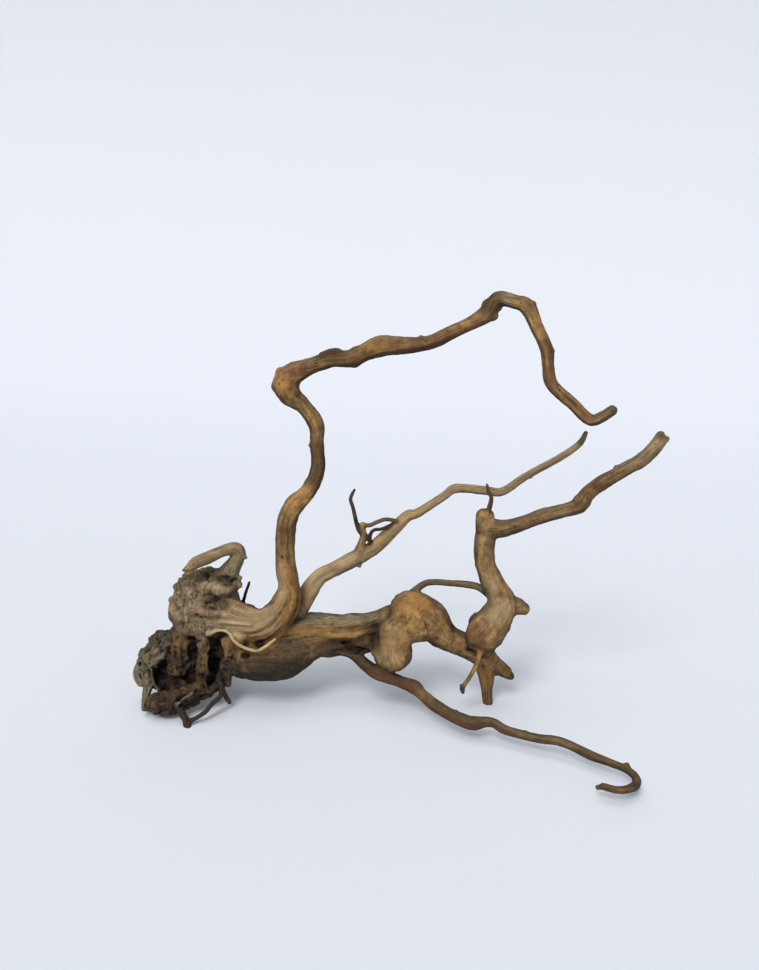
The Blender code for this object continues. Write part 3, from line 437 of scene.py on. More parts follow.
def lattice(cells, seed):
    """A repeatable value from -1 to 1 for each whole-number cell."""
    x, y, z = (cells[..., i].astype(np.uint32) for i in range(3))
    h = x * np.uint32(374761393) + y * np.uint32(668265263) + z * np.uint32(2246822519)
    h = h + np.uint32(seed * 3266489917 % 2**32)
    h = (h ^ (h >> np.uint32(13))) * np.uint32(1274126177)
    h = (h ^ (h >> np.uint32(16))) * np.uint32(2654435761)
    return ((h ^ (h >> np.uint32(15))).astype(np.float64) / 2**31) - 1


def noise(points, seed=SEED):
    """Smooth noise from -1 to 1 with cells of size 1."""
    points = np.asarray(points, float)
    base = np.floor(points)
    part = points - base
    part = part**3 * (part * (part * 6 - 15) + 10)
    base = base.astype(np.int64)
    total = 0
    for corner in np.ndindex(2, 2, 2):
        weight = np.prod([part[..., i] if corner[i] else 1 - part[..., i] for i in range(3)], axis=0)
        total = total + weight * lattice(base + np.array(corner), seed)
    return total


def layered(points, layers=3, seed=SEED):
    """Noise with finer layers, each half as strong, on top of each other."""
    total, strength = 0, 1.0
    for layer in range(layers):
        total = total + strength * noise(np.asarray(points) * 2.03**layer + 17.3 * layer, seed + layer)
        strength *= 0.5
    return total


def ridged(points, layers=2, seed=SEED):
    """Noise with sharp crests: 1 on a crest, falling to -1."""
    total, strength, most = 0, 1.0, 0
    for layer in range(layers):
        placed = np.asarray(points) * 2.1**layer + 31.7 * layer
        total = total + strength * (1 - 3 * np.abs(noise(placed, seed + layer)))
        most += strength
        strength *= 0.5
    return np.clip(total / most, -1, 1)


def centreline(points):
    """A smooth line through the points, with a sample about every SWEEP_STEP: position and radius."""
    rows = np.array(points, float)
    rows = np.vstack([2 * rows[0] - rows[1], rows, 2 * rows[-1] - rows[-2]])
    samples = []
    for i in range(1, len(rows) - 2):
        before, a, b, after = rows[i - 1], rows[i], rows[i + 1], rows[i + 2]
        count = max(2, round(np.linalg.norm((b - a)[:3]) / SWEEP_STEP))
        for t in np.arange(count) / count:
            samples.append(
                0.5 * (2 * a + (b - before) * t + (2 * before - 5 * a + 4 * b - after) * t**2
                       + (3 * a - before - 3 * b + after) * t**3)
            )
    samples.append(rows[-2])
    samples = np.array(samples)
    return samples[:, :3], np.maximum(samples[:, 3], 1.0)


def frames_along(line):
    """Tangent and two side directions at each sample, turned as little as possible."""
    tangents = np.gradient(line, axis=0)
    tangents /= np.linalg.norm(tangents, axis=1)[:, None]
    side = np.cross(tangents[0], (0.3, 1.0, 0.2))
    sides = []
    for tangent in tangents:
        side = side - tangent * (side @ tangent)
        side /= np.linalg.norm(side)
        sides.append(side)
    sides = np.array(sides)
    return tangents, sides, np.cross(tangents, sides)


def make_limbs():
    """Every limb's samples: line, radius, frame, way along and number."""
    limbs = []
    for number, (name, points) in enumerate({**LIMBS, **SLIVERS}.items()):
        line, radius = centreline(points)
        radius = radius * THINNER.get(name, 1)
        tangents, side, other = frames_along(line)
        steps = np.linalg.norm(np.diff(line, axis=0), axis=1)
        way = np.concatenate([[0], np.cumsum(steps)])
        limbs.append({
            "name": name, "line": line, "radius": radius, "tangent": tangents, "side": side, "other": other,
            "way": way, "number": number, "ribs": LOOKS.get(name, PLAIN_LOOK)[4],
        })
    return limbs


def tube(limb):
    """The limb's skin: rings whose radius rises and falls in ribs that wander along it, with round ends."""
    line, radius, way, number = limb["line"], limb["radius"], limb["way"], limb["number"]
    count = int(np.clip(math.tau * radius.max() / RING_STEP, 12, 110))
    angles = math.tau * np.arange(count) / count
    turn = angles[None, :] + 0.006 * way[:, None]
    far = np.broadcast_to(way[:, None] / 45 + 9 * number, turn.shape)
    coarse = np.stack([1.3 * np.cos(turn), 1.3 * np.sin(turn), far], -1)
    fine = np.stack([2.9 * np.cos(turn), 2.9 * np.sin(turn), 1.6 * far], -1)
    bulges = np.stack([way / 12, np.full(len(way), 7.7 * number), 0 * way], -1)
    swell = ROUND_SWELL * noise(coarse) + RIB_SWELL * limb["ribs"] * noise(fine, SEED + 5)
    swell = swell + LONG_SWELL * noise(bulges)[:, None]
    swell *= np.clip((radius[:, None] - 1.5) / 6, 0, 1)
    ring_radius = radius[:, None] * (1 + swell)
    rings = (
        line[:, None]
        + ring_radius[..., None] * np.cos(angles)[None, :, None] * limb["side"][:, None]
        + ring_radius[..., None] * np.sin(angles)[None, :, None] * limb["other"][:, None]
    )
    for end, sign in ((0, -1), (-1, 1)):
        caps = []
        for share in CAP_RINGS:
            shrink = math.sqrt(1 - share**2)
            middle = line[end] + sign * share * CAP_LENGTH * radius[end] * limb["tangent"][end]
            caps.append(middle + (rings[end] - line[end]) * shrink)
        caps = np.array(caps)
        rings = np.concatenate([caps[::-1], rings]) if end == 0 else np.concatenate([rings, caps])
        line = np.concatenate([[caps[-1].mean(0)], line]) if end == 0 else line
    rows = len(rings)
    grid = np.arange(rows * count).reshape(rows, count)
    a, b = grid[:-1], grid[1:]
    quads = np.stack([a, np.roll(a, -1, 1), np.roll(b, -1, 1), b], -1).reshape(-1, 4)
    verts = np.concatenate([rings.reshape(-1, 3), [rings[0].mean(0), rings[-1].mean(0)]])
    first, last = len(verts) - 2, len(verts) - 1
    near, far_ring = grid[0], grid[-1]
    fans = [np.stack([np.full(count, first), np.roll(near, -1), near], -1),
            np.stack([np.full(count, last), far_ring, np.roll(far_ring, -1)], -1)]
    return verts, quads, np.concatenate(fans)


def join_skin(limbs):
    """Joins the swept limbs, the knots and the burrs and remeshes them into one skin."""
    skin = bmesh.new()
    for limb in limbs:
        verts, quads, fans = tube(limb)
        mesh = bpy.data.meshes.new(limb["name"])
        mesh.from_pydata((verts * MM).tolist(), [], quads.tolist() + fans.tolist())
        skin.from_mesh(mesh)
        bpy.data.meshes.remove(mesh)
    balls = KNOTS + [((x, y, z), (radius, radius, radius)) for x, y, z, radius in BURRS]
    for centre, half_sizes in balls:
        place = Matrix.Translation(Vector(centre) * MM) @ Matrix.Diagonal((*half_sizes, 1))
        detail = FINE_DETAIL if max(half_sizes) > LARGE_BALL else COARSE_DETAIL
        bmesh.ops.create_icosphere(skin, subdivisions=detail, radius=1, matrix=place @ Matrix.Scale(MM, 4))
    data = bpy.data.meshes.new("joined")
    skin.to_mesh(data)
    skin.free()
    obj = bpy.data.objects.new("joined", data)
    bpy.context.collection.objects.link(obj)
    remesh = obj.modifiers.new("join", "REMESH")
    remesh.mode = "VOXEL"
    remesh.voxel_size = SKIN_STEP * MM
    graph = bpy.context.evaluated_depsgraph_get()
    fine = bpy.data.meshes.new_from_object(obj.evaluated_get(graph))
    bpy.data.objects.remove(obj, do_unlink=True)
    return fine


class Skin:
    """The fine skin's points in mm, with what is needed to smooth and move them."""

    def __init__(self, mesh):
        self.mesh = mesh
        self.co = np.empty(len(mesh.vertices) * 3)
        mesh.vertices.foreach_get("co", self.co)
        self.co = self.co.reshape(-1, 3) / MM
        edges = np.empty(len(mesh.edges) * 2, np.int32)
        mesh.edges.foreach_get("vertices", edges)
        self.edges = edges.reshape(-1, 2)
        ends = np.concatenate([self.edges[:, 0], self.edges[:, 1]])
        self.valence = np.maximum(np.bincount(ends, minlength=len(self.co)), 1)

    def average(self, values):
        """Each point's neighbours, averaged."""
        flat = values.reshape(len(self.co), -1)
        a, b = self.edges.T
        columns = []
        for column in flat.T:
            columns.append(np.bincount(a, column[b], len(flat)) + np.bincount(b, column[a], len(flat)))
        return (np.stack(columns, -1) / self.valence[:, None]).reshape(values.shape)

    def smoothed(self, values, passes, share=0.5):
        for _ in range(passes):
            values = values + share * (self.average(values) - values)
        return values

    def fair(self, passes):
        """Smooths the surface and keeps its thickness: each pass in is followed by a pass out."""
        for _ in range(passes):
            self.co = self.smoothed(self.smoothed(self.co, 1, FAIR_IN), 1, FAIR_OUT)

    def fillet(self, passes, share):
        """Fills the creases where limbs meet, by this share at each point, and leaves the ridges alone."""
        for _ in range(passes):
            normals = self.normals()
            rise = ((self.average(self.co) - self.co) * normals).sum(1)
            self.co = self.co + normals * (np.maximum(rise, 0) * share)[:, None]

    def normals(self):
        self.mesh.vertices.foreach_set("co", (self.co * MM).ravel())
        self.mesh.update()
        normals = np.empty(len(self.co) * 3, np.float32)
        self.mesh.vertex_normals.foreach_get("vector", normals)
        return normals.reshape(-1, 3).astype(float)


def owners(co, limbs):
    """For each point, the number of the sample whose ball it lies deepest in."""
    lines = np.concatenate([limb["line"] for limb in limbs])
    radii = np.concatenate([limb["radius"] for limb in limbs])
    found = np.empty(len(co), np.int64)
    squares = (lines**2).sum(1)
    for start in range(0, len(co), POINTS_AT_ONCE):
        block = co[start : start + POINTS_AT_ONCE]
        far = np.sqrt(np.maximum((block**2).sum(1)[:, None] + squares - 2 * block @ lines.T, 0))
        found[start : start + POINTS_AT_ONCE] = np.argmin(far - radii, axis=1)
    return found


def along_limbs(co, limbs, owner):
    """Grain coordinates, mm: two offsets from the middle and the way along it. Then radius and look."""
    keys = ("line", "radius", "tangent", "side", "other", "way")
    joined = {key: np.concatenate([limb[key] for limb in limbs]) for key in keys}
    numbers = np.concatenate([np.full(len(limb["way"]), limb["number"]) for limb in limbs])
    looks = np.array([LOOKS.get(limb["name"], PLAIN_LOOK) for limb in limbs])
    offset = co - joined["line"][owner]
    across = (offset * joined["side"][owner]).sum(1)
    up = (offset * joined["other"][owner]).sum(1)
    way = joined["way"][owner] + (offset * joined["tangent"][owner]).sum(1)
    number = numbers[owner]
    return np.stack([across, up, way + 400 * number], -1), joined["radius"][owner], looks[number]


def inside(co, centre, half_sizes, soft=0.35):
    """1 inside the ellipsoid, falling to 0 outside it."""
    reach = np.linalg.norm((co - np.array(centre)) / np.array(half_sizes), axis=1)
    return np.clip((1 + soft - reach) / soft, 0, 1)


def carve(skin, limbs):
    """Moves the skin's points: ribs and cracks along the grain, bark on the knob, hollows in the decay."""
    co = skin.co
    grain, radius, looks = along_limbs(co, limbs, owners(co, limbs))
    knob = inside(co, *KNOB, 0.25) * (1 - inside(co, *BEAK_FOOT, 0.3))
    knob *= np.clip((KNOB_RIGHT - co[:, 0]) / 10, 0, 1)
    rot = np.clip(looks[:, 3] + inside(co, *DECAYED_END, 0.4) * 0.7, 0, 1)
    left = co[:, 0] < DECAY_RIGHT
    rot *= np.clip((DECAY_TOP - co[:, 2]) / 12, 0, 1) * left + 0.3 * ~left
    rot = skin.smoothed(rot, 5)
    knob = skin.smoothed(knob * (1 - rot), 6)
    ribbing = skin.smoothed(looks[:, 4], 6)
    thick = np.clip((radius - 2) / 8, 0.1, 1)
    jump = np.linalg.norm(grain - skin.average(grain), axis=1)
    thick *= 1 - 0.8 * np.clip(skin.smoothed((jump > GRAIN_JUMP).astype(float), 4) * 3, 0, 1)
    for centre, half_sizes in CALM:
        thick *= 1 - inside(co, centre, half_sizes, 0.6)
    skin.fillet(14, 0.9 * (1 - rot))
    skin.fair(2)
    co = skin.co

    def stretched(width, length, seed, layers=2):
        return layered(grain / np.array([width, width, length]), layers, seed)

    lumps = layered(co / 11, 2, 10)
    dents = ridged(co / 9.0, 2, 15)
    ribs = stretched(5.5, 55, 11)
    lines = stretched(2.2, 24, 12)
    cracks = 1 - np.clip(np.abs(stretched(6.0, 75, 13, 1)) / 0.05, 0, 1)
    cracks *= np.clip(noise(grain / np.array([14, 14, 38]), 21) * 3 - 0.4, 0, 1) * ribbing
    plain = 0.5 * lumps * thick + 0.30 * dents * thick
    plain += ribbing * (0.75 * ribs * thick + 0.40 * lines * np.sqrt(thick))
    plain += 0.10 * layered(co / 2.2, 1, 16) - 0.9 * cracks * thick

    tall = np.array([1.0, 1.0, 0.45])
    warts = layered(co / 8.0, 2, 31)
    strips = ridged(co * tall / 4.5, 2, 34)
    crumbs = layered(co / 1.9, 1, 36)
    plates = 1 - np.clip(np.abs(layered(co * tall / 9.5, 2, 32)) / 0.10, 0, 1)
    crest = np.clip((co[:, 2] - 106) / 8, 0, 1)
    bark = 0.8 * warts + (0.34 + 0.3 * crest) * strips + (0.22 + 0.3 * crest) * crumbs - 0.5 * plates
    bark += 1.0 * layered(co / 5.5, 1, 38)

    strings = stretched(3.0, 22, 41, 2)
    combs = ridged(co * tall / 6.0, 2, 44)
    pits = np.clip(layered(co / 5.5, 2, 42) - 0.30, 0, 1)
    rotten = 0.8 * strings + 1.2 * combs + 0.7 * layered(co / 2.2, 2, 43) - 3.4 * pits
    calm = np.clip((radius - 1.5) / 5, 0.15, 1)
    move = plain * (1 - knob) * (1 - rot) + bark * knob + rotten * rot * calm
    for centre, half_sizes, depth in HOLLOWS:
        move = move - depth * inside(co, centre, half_sizes, 0.6) ** 1.5
    skin.co = co + skin.normals() * move[:, None]
    skin.co = skin.smoothed(skin.co, 1, 0.2)
    values = {"rot": rot, "knob": knob, "crack": cracks, "ribs": ribbing}
    return grain, looks, values


# The two sides of a limb that are left golden, without painted shade: towards the front and away from it.
# Faces turned from them get painted shade towards the limb's edges
UNSHADED_SIDE = (0.0, -0.95, 0.31)


def weathering_and_shade(skin):
    """How far each point's surface turns from the unshaded sides, for the painted shade at the limbs'
    edges, and how far it looks up and down: each 0 to 1.
    """
    normals = skin.smoothed(skin.normals(), 3)
    normals /= np.linalg.norm(normals, axis=1)[:, None]
    # painted shade: 0 on faces towards the unshaded sides, rising to 1 at the limb's edges
    edge_shade = 1 - np.abs(normals @ np.array(UNSHADED_SIDE))
    rise = normals[:, 2]
    return {"edge_shade": edge_shade, "skyward": np.clip(rise, 0, 1), "earthward": np.clip(-rise, 0, 1)}


def tone_patches(skin, looks):
    """Shares of each tone at each point: the limb's own look and the patches on it, with ragged rims."""
    tones = {"brown": looks[:, 0], "grey": looks[:, 1], "dark": looks[:, 2], "pale": looks[:, 5]}
    tones["red"] = tones["gold"] = np.zeros(len(looks))
    ragged = skin.co + 1.6 * np.stack([noise(skin.co / 4 + 50 * i, SEED + i) for i in range(3)], -1)
    for kind, patches in PATCHES.items():
        for centre, half_sizes, strength in patches:
            tones[kind] = np.maximum(tones[kind], strength * inside(ragged, centre, half_sizes, 0.7))
    return {name: skin.smoothed(values, 3) for name, values in tones.items()}


def depth_of(skin, passes):
    """How far each point lies in a hollow, mm: over 0 in a crease, under 0 on a ridge."""
    drift = skin.smoothed(skin.co, passes) - skin.co
    return (drift * skin.normals()).sum(1)


SHUT_REACH = 14  # mm that a ray from the surface must travel to count as open
RAY_START = 0.4  # mm over the surface
RAY_COUNT = 18


def shut_in(skin):
    """Share of the directions over each point that other wood blocks within SHUT_REACH."""
    normals = skin.normals()
    faces = [tuple(polygon.vertices) for polygon in skin.mesh.polygons]
    tree = BVHTree.FromPolygons(skin.co.tolist(), faces)
    turns = np.arange(RAY_COUNT) * math.pi * (3 - math.sqrt(5))
    rise = np.sqrt(1 - (np.arange(RAY_COUNT) + 0.5) / RAY_COUNT)
    flat = np.sqrt(1 - rise**2)
    helper = np.where(np.abs(normals[:, 2:]) < 0.9, [[0, 0, 1]], [[1, 0, 0]])
    side = np.cross(normals, helper)
    side /= np.linalg.norm(side, axis=1)[:, None]
    other = np.cross(normals, side)
    starts = skin.co + normals * RAY_START
    blocked = np.zeros(len(skin.co))
    chosen = np.arange(0, len(skin.co), 2)
    for turn, up, out in zip(turns, rise, flat):
        ways = up * normals + out * (math.cos(turn) * side + math.sin(turn) * other)
        for i in chosen:
            if tree.ray_cast(starts[i], ways[i], SHUT_REACH)[0] is not None:
                blocked[i] += 1
    known = np.zeros(len(skin.co))
    known[chosen] = 1
    weight = skin.smoothed(known, 3)
    return skin.smoothed(blocked, 3) / np.maximum(weight, 0.05) / RAY_COUNT


def add_values(mesh, name, values):
    kind = "FLOAT_VECTOR" if values.ndim == 2 else "FLOAT"
    attribute = mesh.attributes.new(name, kind, "POINT")
    attribute.data.foreach_set("vector" if values.ndim == 2 else "value", values.astype(np.float32).ravel())


def thinned(mesh):
    """The mesh with its flattest edges collapsed, down to MOST_TRIANGLES. Its values are kept."""
    triangles = sum(len(polygon.vertices) - 2 for polygon in mesh.polygons)
    obj = bpy.data.objects.new("thinned", mesh)
    bpy.context.collection.objects.link(obj)
    decimate = obj.modifiers.new("thin out", "DECIMATE")
    decimate.ratio = min(1, MOST_TRIANGLES / triangles)
    graph = bpy.context.evaluated_depsgraph_get()
    thin = bpy.data.meshes.new_from_object(obj.evaluated_get(graph))
    bpy.data.objects.remove(obj, do_unlink=True)
    return thin


def drop_small_pieces(mesh):
    """Keeps the largest connected piece of the mesh."""
    unseen = set(mesh.verts)
    pieces = []
    while unseen:
        start = unseen.pop()
        piece, waiting = [start], [start]
        while waiting:
            for edge in waiting.pop().link_edges:
                for vert in edge.verts:
                    if vert in unseen:
                        unseen.remove(vert)
                        piece.append(vert)
                        waiting.append(vert)
        pieces.append(piece)
    pieces.sort(key=len)
    for piece in pieces[:-1]:
        bmesh.ops.delete(mesh, geom=piece, context="VERTS")


def finish_mesh(data):
    """Cuts the feet flat at the ground, keeps one piece and shifts it to the model's place."""
    mesh = bmesh.new()
    mesh.from_mesh(data)
    geometry = mesh.verts[:] + mesh.edges[:] + mesh.faces[:]
    cut = bmesh.ops.bisect_plane(
        mesh, geom=geometry, dist=CUT_TOLERANCE, plane_co=(0, 0, 0), plane_no=(0, 0, 1), clear_inner=True
    )
    rim = [item for item in cut["geom_cut"] if isinstance(item, bmesh.types.BMEdge)]
    bmesh.ops.edgenet_fill(mesh, edges=rim)
    drop_small_pieces(mesh)
    bmesh.ops.translate(mesh, verts=mesh.verts[:], vec=(-GRID_MIDDLE[0] * MM, -GRID_MIDDLE[1] * MM, 0))
    for face in mesh.faces:
        face.smooth = True
    mesh.to_mesh(data)
    mesh.free()


class Nodes:
    """Short calls for building a material's node tree."""

    def __init__(self, material):
        self.tree = material.node_tree

    def add(self, kind, inputs=None, **settings):
        node = self.tree.nodes.new(kind)
        for key, value in settings.items():
            setattr(node, key, value)
        for key, value in (inputs or {}).items():
            if isinstance(value, bpy.types.NodeSocket):
                self.tree.links.new(value, node.inputs[key])
            else:
                node.inputs[key].default_value = value
        return node

    def value(self, name):
        return self.add("ShaderNodeAttribute", attribute_name=name).outputs["Fac"]

    def vector(self, name):
        return self.add("ShaderNodeAttribute", attribute_name=name).outputs["Vector"]

    def scaled(self, vector, scale):
        return self.add("ShaderNodeMapping", {"Vector": vector, "Scale": scale}).outputs["Vector"]

    def noise(self, vector, scale, detail=4, rough=0.55, distortion=0):
        inputs = {"Vector": vector, "Scale": scale, "Detail": detail, "Roughness": rough}
        return self.add("ShaderNodeTexNoise", {**inputs, "Distortion": distortion}).outputs["Fac"]

    def dots(self, vector, scale, radius, share):
        """Scattered round dots: 1 inside a dot. Only this share of the cells holds one."""
        cells = self.add("ShaderNodeTexVoronoi", {"Vector": vector, "Scale": scale})
        chance = self.add("ShaderNodeSeparateXYZ", {0: cells.outputs["Color"]}).outputs[0]
        dot = self.between(cells.outputs["Distance"], radius, radius * 0.5)
        return self.times(dot, self.math("LESS_THAN", chance, share))

    def between(self, value, low, high, out_low=0.0, out_high=1.0):
        inputs = {"Value": value, "From Min": low, "From Max": high, "To Min": out_low, "To Max": out_high}
        return self.add("ShaderNodeMapRange", inputs).outputs["Result"]

    def math(self, operation, a, b=0.0, clamp=False):
        return self.add("ShaderNodeMath", {0: a, 1: b}, operation=operation, use_clamp=clamp).outputs[0]

    def plus(self, a, b, clamp=False):
        return self.math("ADD", a, b, clamp)

    def minus(self, a, b):
        return self.math("SUBTRACT", a, b)

    def times(self, a, b, clamp=False):
        return self.math("MULTIPLY", a, b, clamp)

    def mix(self, share, a, b, blend="MIX"):
        node = self.add("ShaderNodeMix", data_type="RGBA", blend_type=blend)
        for socket, value in ((node.inputs[0], share), (node.inputs[6], a), (node.inputs[7], b)):
            if isinstance(value, bpy.types.NodeSocket):
                self.tree.links.new(value, socket)
            else:
                socket.default_value = value
        return node.outputs[2]


def shade(red, green, blue):
    """A colour given as it looks on screen, 0 to 255, turned into linear light."""
    channels = []
    for channel in (red, green, blue):
        c = channel / 255
        channels.append(c / 12.92 if c <= 0.04045 else ((c + 0.055) / 1.055) ** 2.4)
    return (*channels, 1.0)


def wood_material():
    material = bpy.data.materials.new("weathered_wood")
    material.use_nodes = True
    n = Nodes(material)
    shader = n.tree.nodes["Principled BSDF"]
    grain = n.vector("grain")
    place = n.add("ShaderNodeTexCoord").outputs["Object"]
    brown, grey, dark = (n.value(name) for name in ("brown", "grey", "dark"))
    red, gold, pale = (n.value(name) for name in ("red", "gold", "pale"))
    rot, knob, ribs, crack = (n.value(name) for name in ("rot", "knob", "ribs", "crack"))
    hollow, shut, edge_shade = (n.value(name) for name in ("hollow", "shut", "edge_shade"))
    skyward, earthward = n.value("skyward"), n.value("earthward")

    bands = n.noise(n.scaled(grain, (0.16, 0.16, 0.012)), 1.0, 3, 0.55, 0.3)
    streaks = n.noise(n.scaled(grain, (0.42, 0.42, 0.022)), 1.0, 4, 0.6, 0.3)
    fibres = n.noise(n.scaled(grain, (1.1, 1.1, 0.05)), 1.0, 4, 0.6)
    clouds = n.noise(place, 42.0, 3, 0.55)
    blotches = n.noise(place, 130.0, 4, 0.6)
    specks = n.noise(place, 430.0, 3, 0.6)

    def darkened(colour, share, tone):
        return n.mix(share, colour, n.mix(1.0, colour, tone, "MULTIPLY"))

    # Golden heartwood and brown outer wood, in streaks along the grain and soft spots
    lines = n.times(n.between(streaks, 0.38, 0.62, -0.5, 0.5), n.between(ribs, 0.0, 0.8, 0.3, 0.8))
    spots = n.times(n.between(blotches, 0.36, 0.64, -0.5, 0.5), n.between(ribs, 0.0, 0.8, 0.9, 0.6))
    tone = n.plus(n.plus(lines, spots), 0.5, clamp=True)
    golden = n.mix(tone, shade(178, 142, 92), shade(114, 86, 46))
    brownish = n.mix(tone, shade(112, 82, 45), shade(54, 38, 22))
    drift = n.plus(n.between(clouds, 0.36, 0.64, -0.28, 0.28), n.between(bands, 0.38, 0.62, -0.28, 0.28))
    # the limb's sides go browner towards its edges: painted shade
    turned = n.between(edge_shade, 0.22, 0.85, -0.12, 0.85)
    share = n.plus(n.plus(brown, drift), turned, clamp=True)
    wood = n.mix(share, golden, brownish)
    fibrous = n.times(n.between(fibres, 0.45, 0.66, 0.0, 0.6), n.between(ribs, 0.1, 0.6, 0.12, 1.0))
    wood = darkened(wood, fibrous, shade(150, 135, 120))
    # painted shade: darker towards the limb's edges
    wood = darkened(wood, n.between(edge_shade, 0.5, 0.95, 0.0, 0.6), shade(120, 106, 92))
    wood = darkened(wood, n.between(specks, 0.55, 0.68, 0.0, 0.5), shade(140, 122, 104))
    wood = n.mix(n.times(gold, n.between(blotches, 0.68, 0.40, 0.15, 0.9)), wood, shade(168, 122, 62))
    stain = n.between(n.noise(place, 30.0, 4, 0.65), 0.58, 0.70, 0.0, 0.45)
    red_share = n.times(n.plus(red, stain, True), n.between(blotches, 0.35, 0.62, 0.35, 0.9))
    wood = n.mix(red_share, wood, shade(100, 58, 36))
    wood = n.mix(n.times(pale, n.between(fibres, 0.70, 0.40, 0.5, 0.95)), wood, shade(184, 162, 124))

    # Silvery weathering on faces that look up and where the limb is grey
    sky = n.times(n.between(skyward, 0.35, 1.0, 0.0, 0.35), n.between(clouds, 0.40, 0.60))
    grey_share = n.times(n.plus(grey, sky), n.between(streaks, 0.34, 0.60, 0.3, 1.0), clamp=True)
    silver = n.mix(n.between(fibres, 0.40, 0.62), shade(138, 129, 107), shade(84, 76, 60))
    # painted shade on the silver wood towards the limb's edges
    silver = n.mix(n.between(edge_shade, 0.45, 0.95, 0.0, 0.6), silver, shade(62, 55, 43))
    wood = n.mix(grey_share, wood, silver)

    # Rough grey-olive bark of the knob
    tall = n.noise(n.scaled(place, (1.0, 1.0, 0.4)), 330.0, 4, 0.6)
    bark = n.mix(n.between(tall, 0.40, 0.58), shade(158, 143, 114), shade(94, 80, 58))
    bark = n.mix(n.between(clouds, 0.48, 0.58, 0.0, 0.75), bark, shade(150, 122, 88))
    bark = n.mix(n.between(blotches, 0.50, 0.62, 0.0, 0.6), bark, shade(92, 86, 58))
    bark = n.mix(n.between(n.noise(place, 90.0, 3, 0.6), 0.56, 0.64, 0.0, 0.5), bark, shade(72, 58, 42))
    bark = n.mix(n.between(specks, 0.54, 0.64, 0.0, 0.75), bark, shade(54, 43, 31))
    # painted shade on the bark towards the knob's edges
    bark = n.mix(n.between(edge_shade, 0.35, 0.95, 0.0, 0.75), bark, shade(60, 50, 38))
    shown = n.times(n.plus(n.plus(pale, gold), red, clamp=True), 0.6)
    wood = n.mix(n.times(knob, n.minus(0.92, shown)), wood, bark)

    # Decayed wood: dark, with ochre where it is still sound
    decay = n.mix(n.between(blotches, 0.42, 0.56), shade(84, 66, 44), shade(30, 23, 17))
    decay = n.mix(n.between(n.noise(place, 80.0, 4, 0.65), 0.54, 0.64, 0.0, 0.8), decay, shade(126, 94, 54))
    wood = n.mix(n.times(rot, n.minus(0.9, n.times(gold, 0.7))), wood, decay)
    wood = n.mix(n.times(n.times(grey, rot), 0.8), wood, silver)

    # Charred wood and painted shade in deep hollows, and painted shade on the underside
    # char: charred wood, and painted shade in the hollows, slots and slits
    char_and_shade_share = n.times(dark, n.between(blotches, 0.64, 0.36, 0.55, 1.0), clamp=True)
    wood = n.mix(char_and_shade_share, wood, shade(34, 26, 21))
    # painted shade: darker on faces that look down
    wood = darkened(wood, n.between(earthward, 0.2, 0.9, 0.0, 0.8), shade(104, 90, 76))

    # Painted shade in creases and where nearby wood closes over the surface, painted highlight on crests,
    # and dark pores and cracks
    # painted shade: darker in creases
    wood = darkened(wood, n.between(hollow, 0.04, 0.50, 0.0, 0.9), shade(88, 72, 58))
    # painted highlight: the crests made brighter than the wood around them
    crest = n.mix(1.0, wood, (1.45, 1.42, 1.36, 1), "MULTIPLY")
    wood = n.mix(n.between(hollow, -0.05, -0.40, 0.0, 0.55), wood, crest)
    # painted shade: nearly black where nearby wood closes over the surface
    wood = n.mix(n.between(shut, 0.28, 0.80, 0.0, 0.97), wood, shade(17, 13, 10))
    pores = n.dots(n.scaled(grain, (1.0, 1.0, 0.6)), 0.24, 0.17, 0.45)
    wood = n.mix(n.times(pores, 0.75), wood, shade(34, 23, 16))
    wood = n.mix(n.times(crack, 0.8), wood, shade(32, 22, 15))
    n.tree.links.new(wood, shader.inputs["Base Color"])

    rough = n.between(fibres, 0.3, 0.7, 0.58, 0.85)
    n.tree.links.new(rough, shader.inputs["Roughness"])
    shader.inputs["Specular IOR Level"].default_value = 0.2
    rough_places = n.math("MAXIMUM", rot, knob)
    relief = n.plus(n.times(fibres, n.minus(1.0, rough_places)),
                    n.times(specks, n.plus(rough_places, 0.3)))
    relief = n.minus(relief, n.times(pores, 0.6))
    bump = n.add("ShaderNodeBump", {"Height": relief, "Strength": 0.7, "Distance": 0.0009})
    n.tree.links.new(bump.outputs["Normal"], shader.inputs["Normal"])
    return material


def make_root():
    limbs = make_limbs()
    skin = Skin(join_skin(limbs))
    skin.fair(4)
    grain, looks, values = carve(skin, limbs)
    values["hollow"] = depth_of(skin, 4) + 0.35 * depth_of(skin, 24)
    values["shut"] = shut_in(skin)
    values["grain"] = grain
    values.update(tone_patches(skin, looks))
    values.update(weathering_and_shade(skin))
    mesh = skin.mesh
    for name, numbers in values.items():
        add_values(mesh, name, numbers)
    mesh = thinned(mesh)
    finish_mesh(mesh)
    mesh.name = "root_wood"
    mesh.materials.clear()
    mesh.materials.append(wood_material())
    root = bpy.data.objects.new("root_wood", mesh)
    bpy.context.collection.objects.link(root)
    print("root triangles", sum(len(p.vertices) - 2 for p in mesh.polygons))
    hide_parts("dry_root")
    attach(root, "root")
    return root


# The pale sweep that the root stands on: floor, bend and wall, m, its tone and the light that it gives off
FLOOR_NEAR, FLOOR_FAR = -1.8, 0.9
BEND_RADIUS = 1.2
WALL_TOP = 2.6
SWEEP_HALF_WIDTH = 3.0
BEND_STEPS = 24
SWEEP_TONE = (199, 203, 211)
GLOW_TONE = (0.96, 0.98, 1.0, 1)
FLOOR_GLOW, WALL_GLOW = 0.05, 0.19  # its strength at the floor and up the wall
GLOW_FROM, GLOW_TO = 0.2, 1.2  # the heights, m, between which it grows


